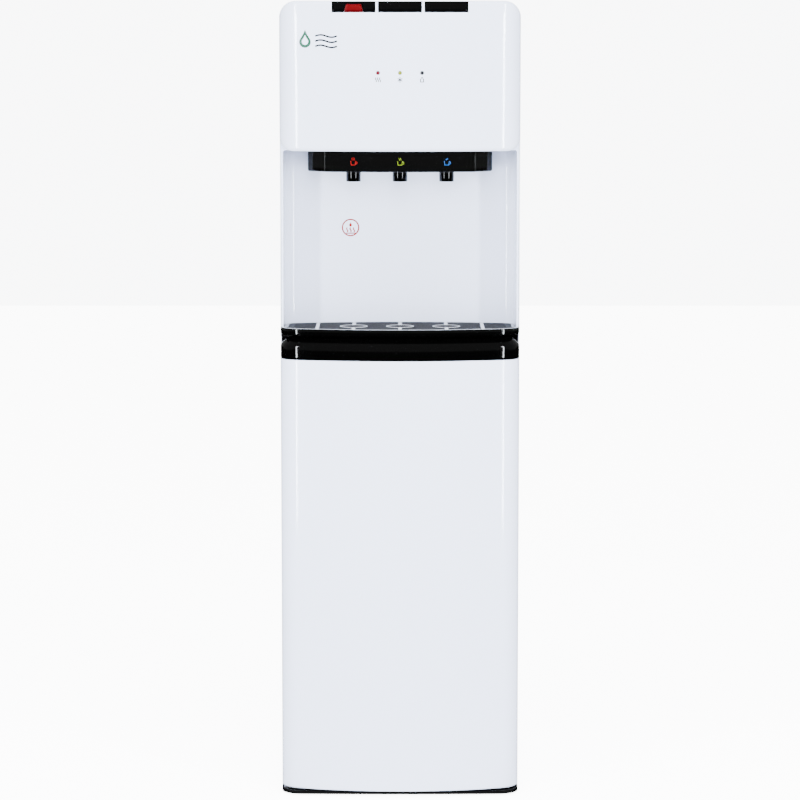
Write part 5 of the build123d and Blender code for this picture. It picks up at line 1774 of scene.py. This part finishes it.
@dataclass
class Studio:
    """Pale floor, soft light and the camera.

    Mirrored rays see a dim surround and floor, so that black plastic stays black beside the strips.
    """

    floor_size: float = 14.0
    strip_angle: float = 39.0
    strip_reach: float = 2.9
    strip_size: tuple[float, float] = (0.14, 2.6)
    strip_power: float = 150.0
    strip_z: float = 0.75
    overhead_power: float = 148.0
    overhead_place: Point = (0.0, -1.2, 3.2)
    fill_power: float = 88.0
    fill_place: Point = (0.0, -4.4, 1.5)
    daylight: Colour = (0.9, 0.95, 1.0)
    surround: float = 2.2
    mirrored: float = 0.4
    backdrop: float = 9.0
    camera_place: Point = (0.0, -4.18, 1.005)
    camera_aim: Point = (0.0, 0.0, 0.502)
    lens: float = 141.0

    def floor(self) -> None:
        """Lay the floor."""
        mesh = bmesh.new()
        bmesh.ops.create_grid(mesh, x_segments=1, y_segments=1, size=self.floor_size / 2)
        ground = link("floor", mesh)
        shader = Shader("floor_paper")
        grain = shader.noise(60, 3)
        paper = shader.mix(grain, (0.88, 0.88, 0.88), (0.92, 0.92, 0.92))
        mirrored = shader.node("ShaderNodeLightPath", {}, {}, "Is Glossy Ray")
        inputs = {0: mirrored, 6: paper, 7: (0, 0, 0, 1)}
        dim = shader.node("ShaderNodeMix", {"data_type": "RGBA"}, inputs, 2)
        shader.set(Base_Color=dim, Roughness=1.0, Specular_IOR_Level=0.0)
        seen = shader.node("ShaderNodeLightPath", {}, {}, "Is Camera Ray")
        shader.set(Emission_Color=shader.mix(seen, (0, 0, 0), (1, 1, 1)), Emission_Strength=self.backdrop)
        ground.data.materials.append(shader.material)

    @staticmethod
    def _towards(place: Point, aim: Point) -> Euler:
        """Rotation that points a lamp or camera at an aim."""
        return (Vector(aim) - Vector(place)).to_track_quat("-Z", "Y").to_euler()

    def lamp(self, name: str, place: Point, aim: Point, size: tuple[float, float], power: float) -> None:
        """Add one area light.

        Args:
            name: the light's name; a strip's shows in reflections.
            place: where it stands.
            aim: what it points at.
            size: width and height, in metres.
            power: power, in watts.
        """
        data = bpy.data.lights.new(name, "AREA")
        data.shape = "RECTANGLE"
        data.size, data.size_y = size
        data.energy = power
        data.color = self.daylight
        lamp = bpy.data.objects.new(name, data)
        lamp.location = place
        lamp.rotation_euler = self._towards(place, aim)
        lamp.visible_glossy = name.startswith("strip")
        bpy.context.scene.collection.objects.link(lamp)

    def lights(self) -> None:
        """Light the scene: two upright strips, a broad overhead light and a pale surround."""
        world = bpy.data.worlds.new("surround")
        world.use_nodes = True
        tree = world.node_tree
        path = tree.nodes.new("ShaderNodeLightPath")
        mirrored, level = (tree.nodes.new("ShaderNodeMix") for _ in range(2))
        mirrored.inputs[2].default_value, mirrored.inputs[3].default_value = self.surround, self.mirrored
        level.inputs[3].default_value = self.backdrop
        tree.links.new(path.outputs["Is Glossy Ray"], mirrored.inputs[0])
        tree.links.new(path.outputs["Is Camera Ray"], level.inputs[0])
        tree.links.new(mirrored.outputs[0], level.inputs[2])
        tree.nodes["Background"].inputs[0].default_value = (0.97, 0.985, 1, 1)
        tree.links.new(level.outputs[0], tree.nodes["Background"].inputs[1])
        bpy.context.scene.world = world
        turn = math.radians(self.strip_angle)
        x, y = self.strip_reach * math.sin(turn), -self.strip_reach * math.cos(turn) - 0.1
        for side, name in ((-1, "strip_left"), (1, "strip_right")):
            self.lamp(name, (side * x, y, self.strip_z), (0, -0.1, 0.55), self.strip_size, self.strip_power)
        self.lamp("overhead", self.overhead_place, (0, 0, 0.5), (2.4, 1.6), self.overhead_power)
        self.lamp("front_fill", self.fill_place, (0, 0, 0.7), (1.6, 1.2), self.fill_power)

    def camera(self) -> None:
        """Place the camera."""
        data = bpy.data.cameras.new("camera")
        data.lens = self.lens
        data.sensor_width = 36
        camera = bpy.data.objects.new("camera", data)
        camera.location = self.camera_place
        camera.rotation_euler = self._towards(self.camera_place, self.camera_aim)
        bpy.context.scene.collection.objects.link(camera)
        bpy.context.scene.camera = camera

    def build(self) -> None:
        """Build the studio."""
        self.floor()
        self.lights()
        self.camera()


def main() -> None:
    """Build the cooler and its studio in order."""
    logging.basicConfig(level=logging.INFO, format="%(name)s: %(message)s")
    taps = Taps()
    Head().build()
    taps.build()
    Recess().build(taps.loop())
    Tray().build()
    Door().build()
    TopCover().build()
    Springs().build()
    ProbeHose().build()
    stood_for = {"head_cover", "hot_button", "warm_button", "cold_button", "child_lock", "tap_housing",
                 "tap_lens", "nozzles", "splash_panel", "drip_tray", "door_skin", "door_top_trim",
                 "top_cover", "hot_button_spring", "warm_button_spring", "cold_button_spring", "probe_hose"}
    FrameDressing(stood_for).build()
    Studio().build()


if __name__ == "__main__":
    main()
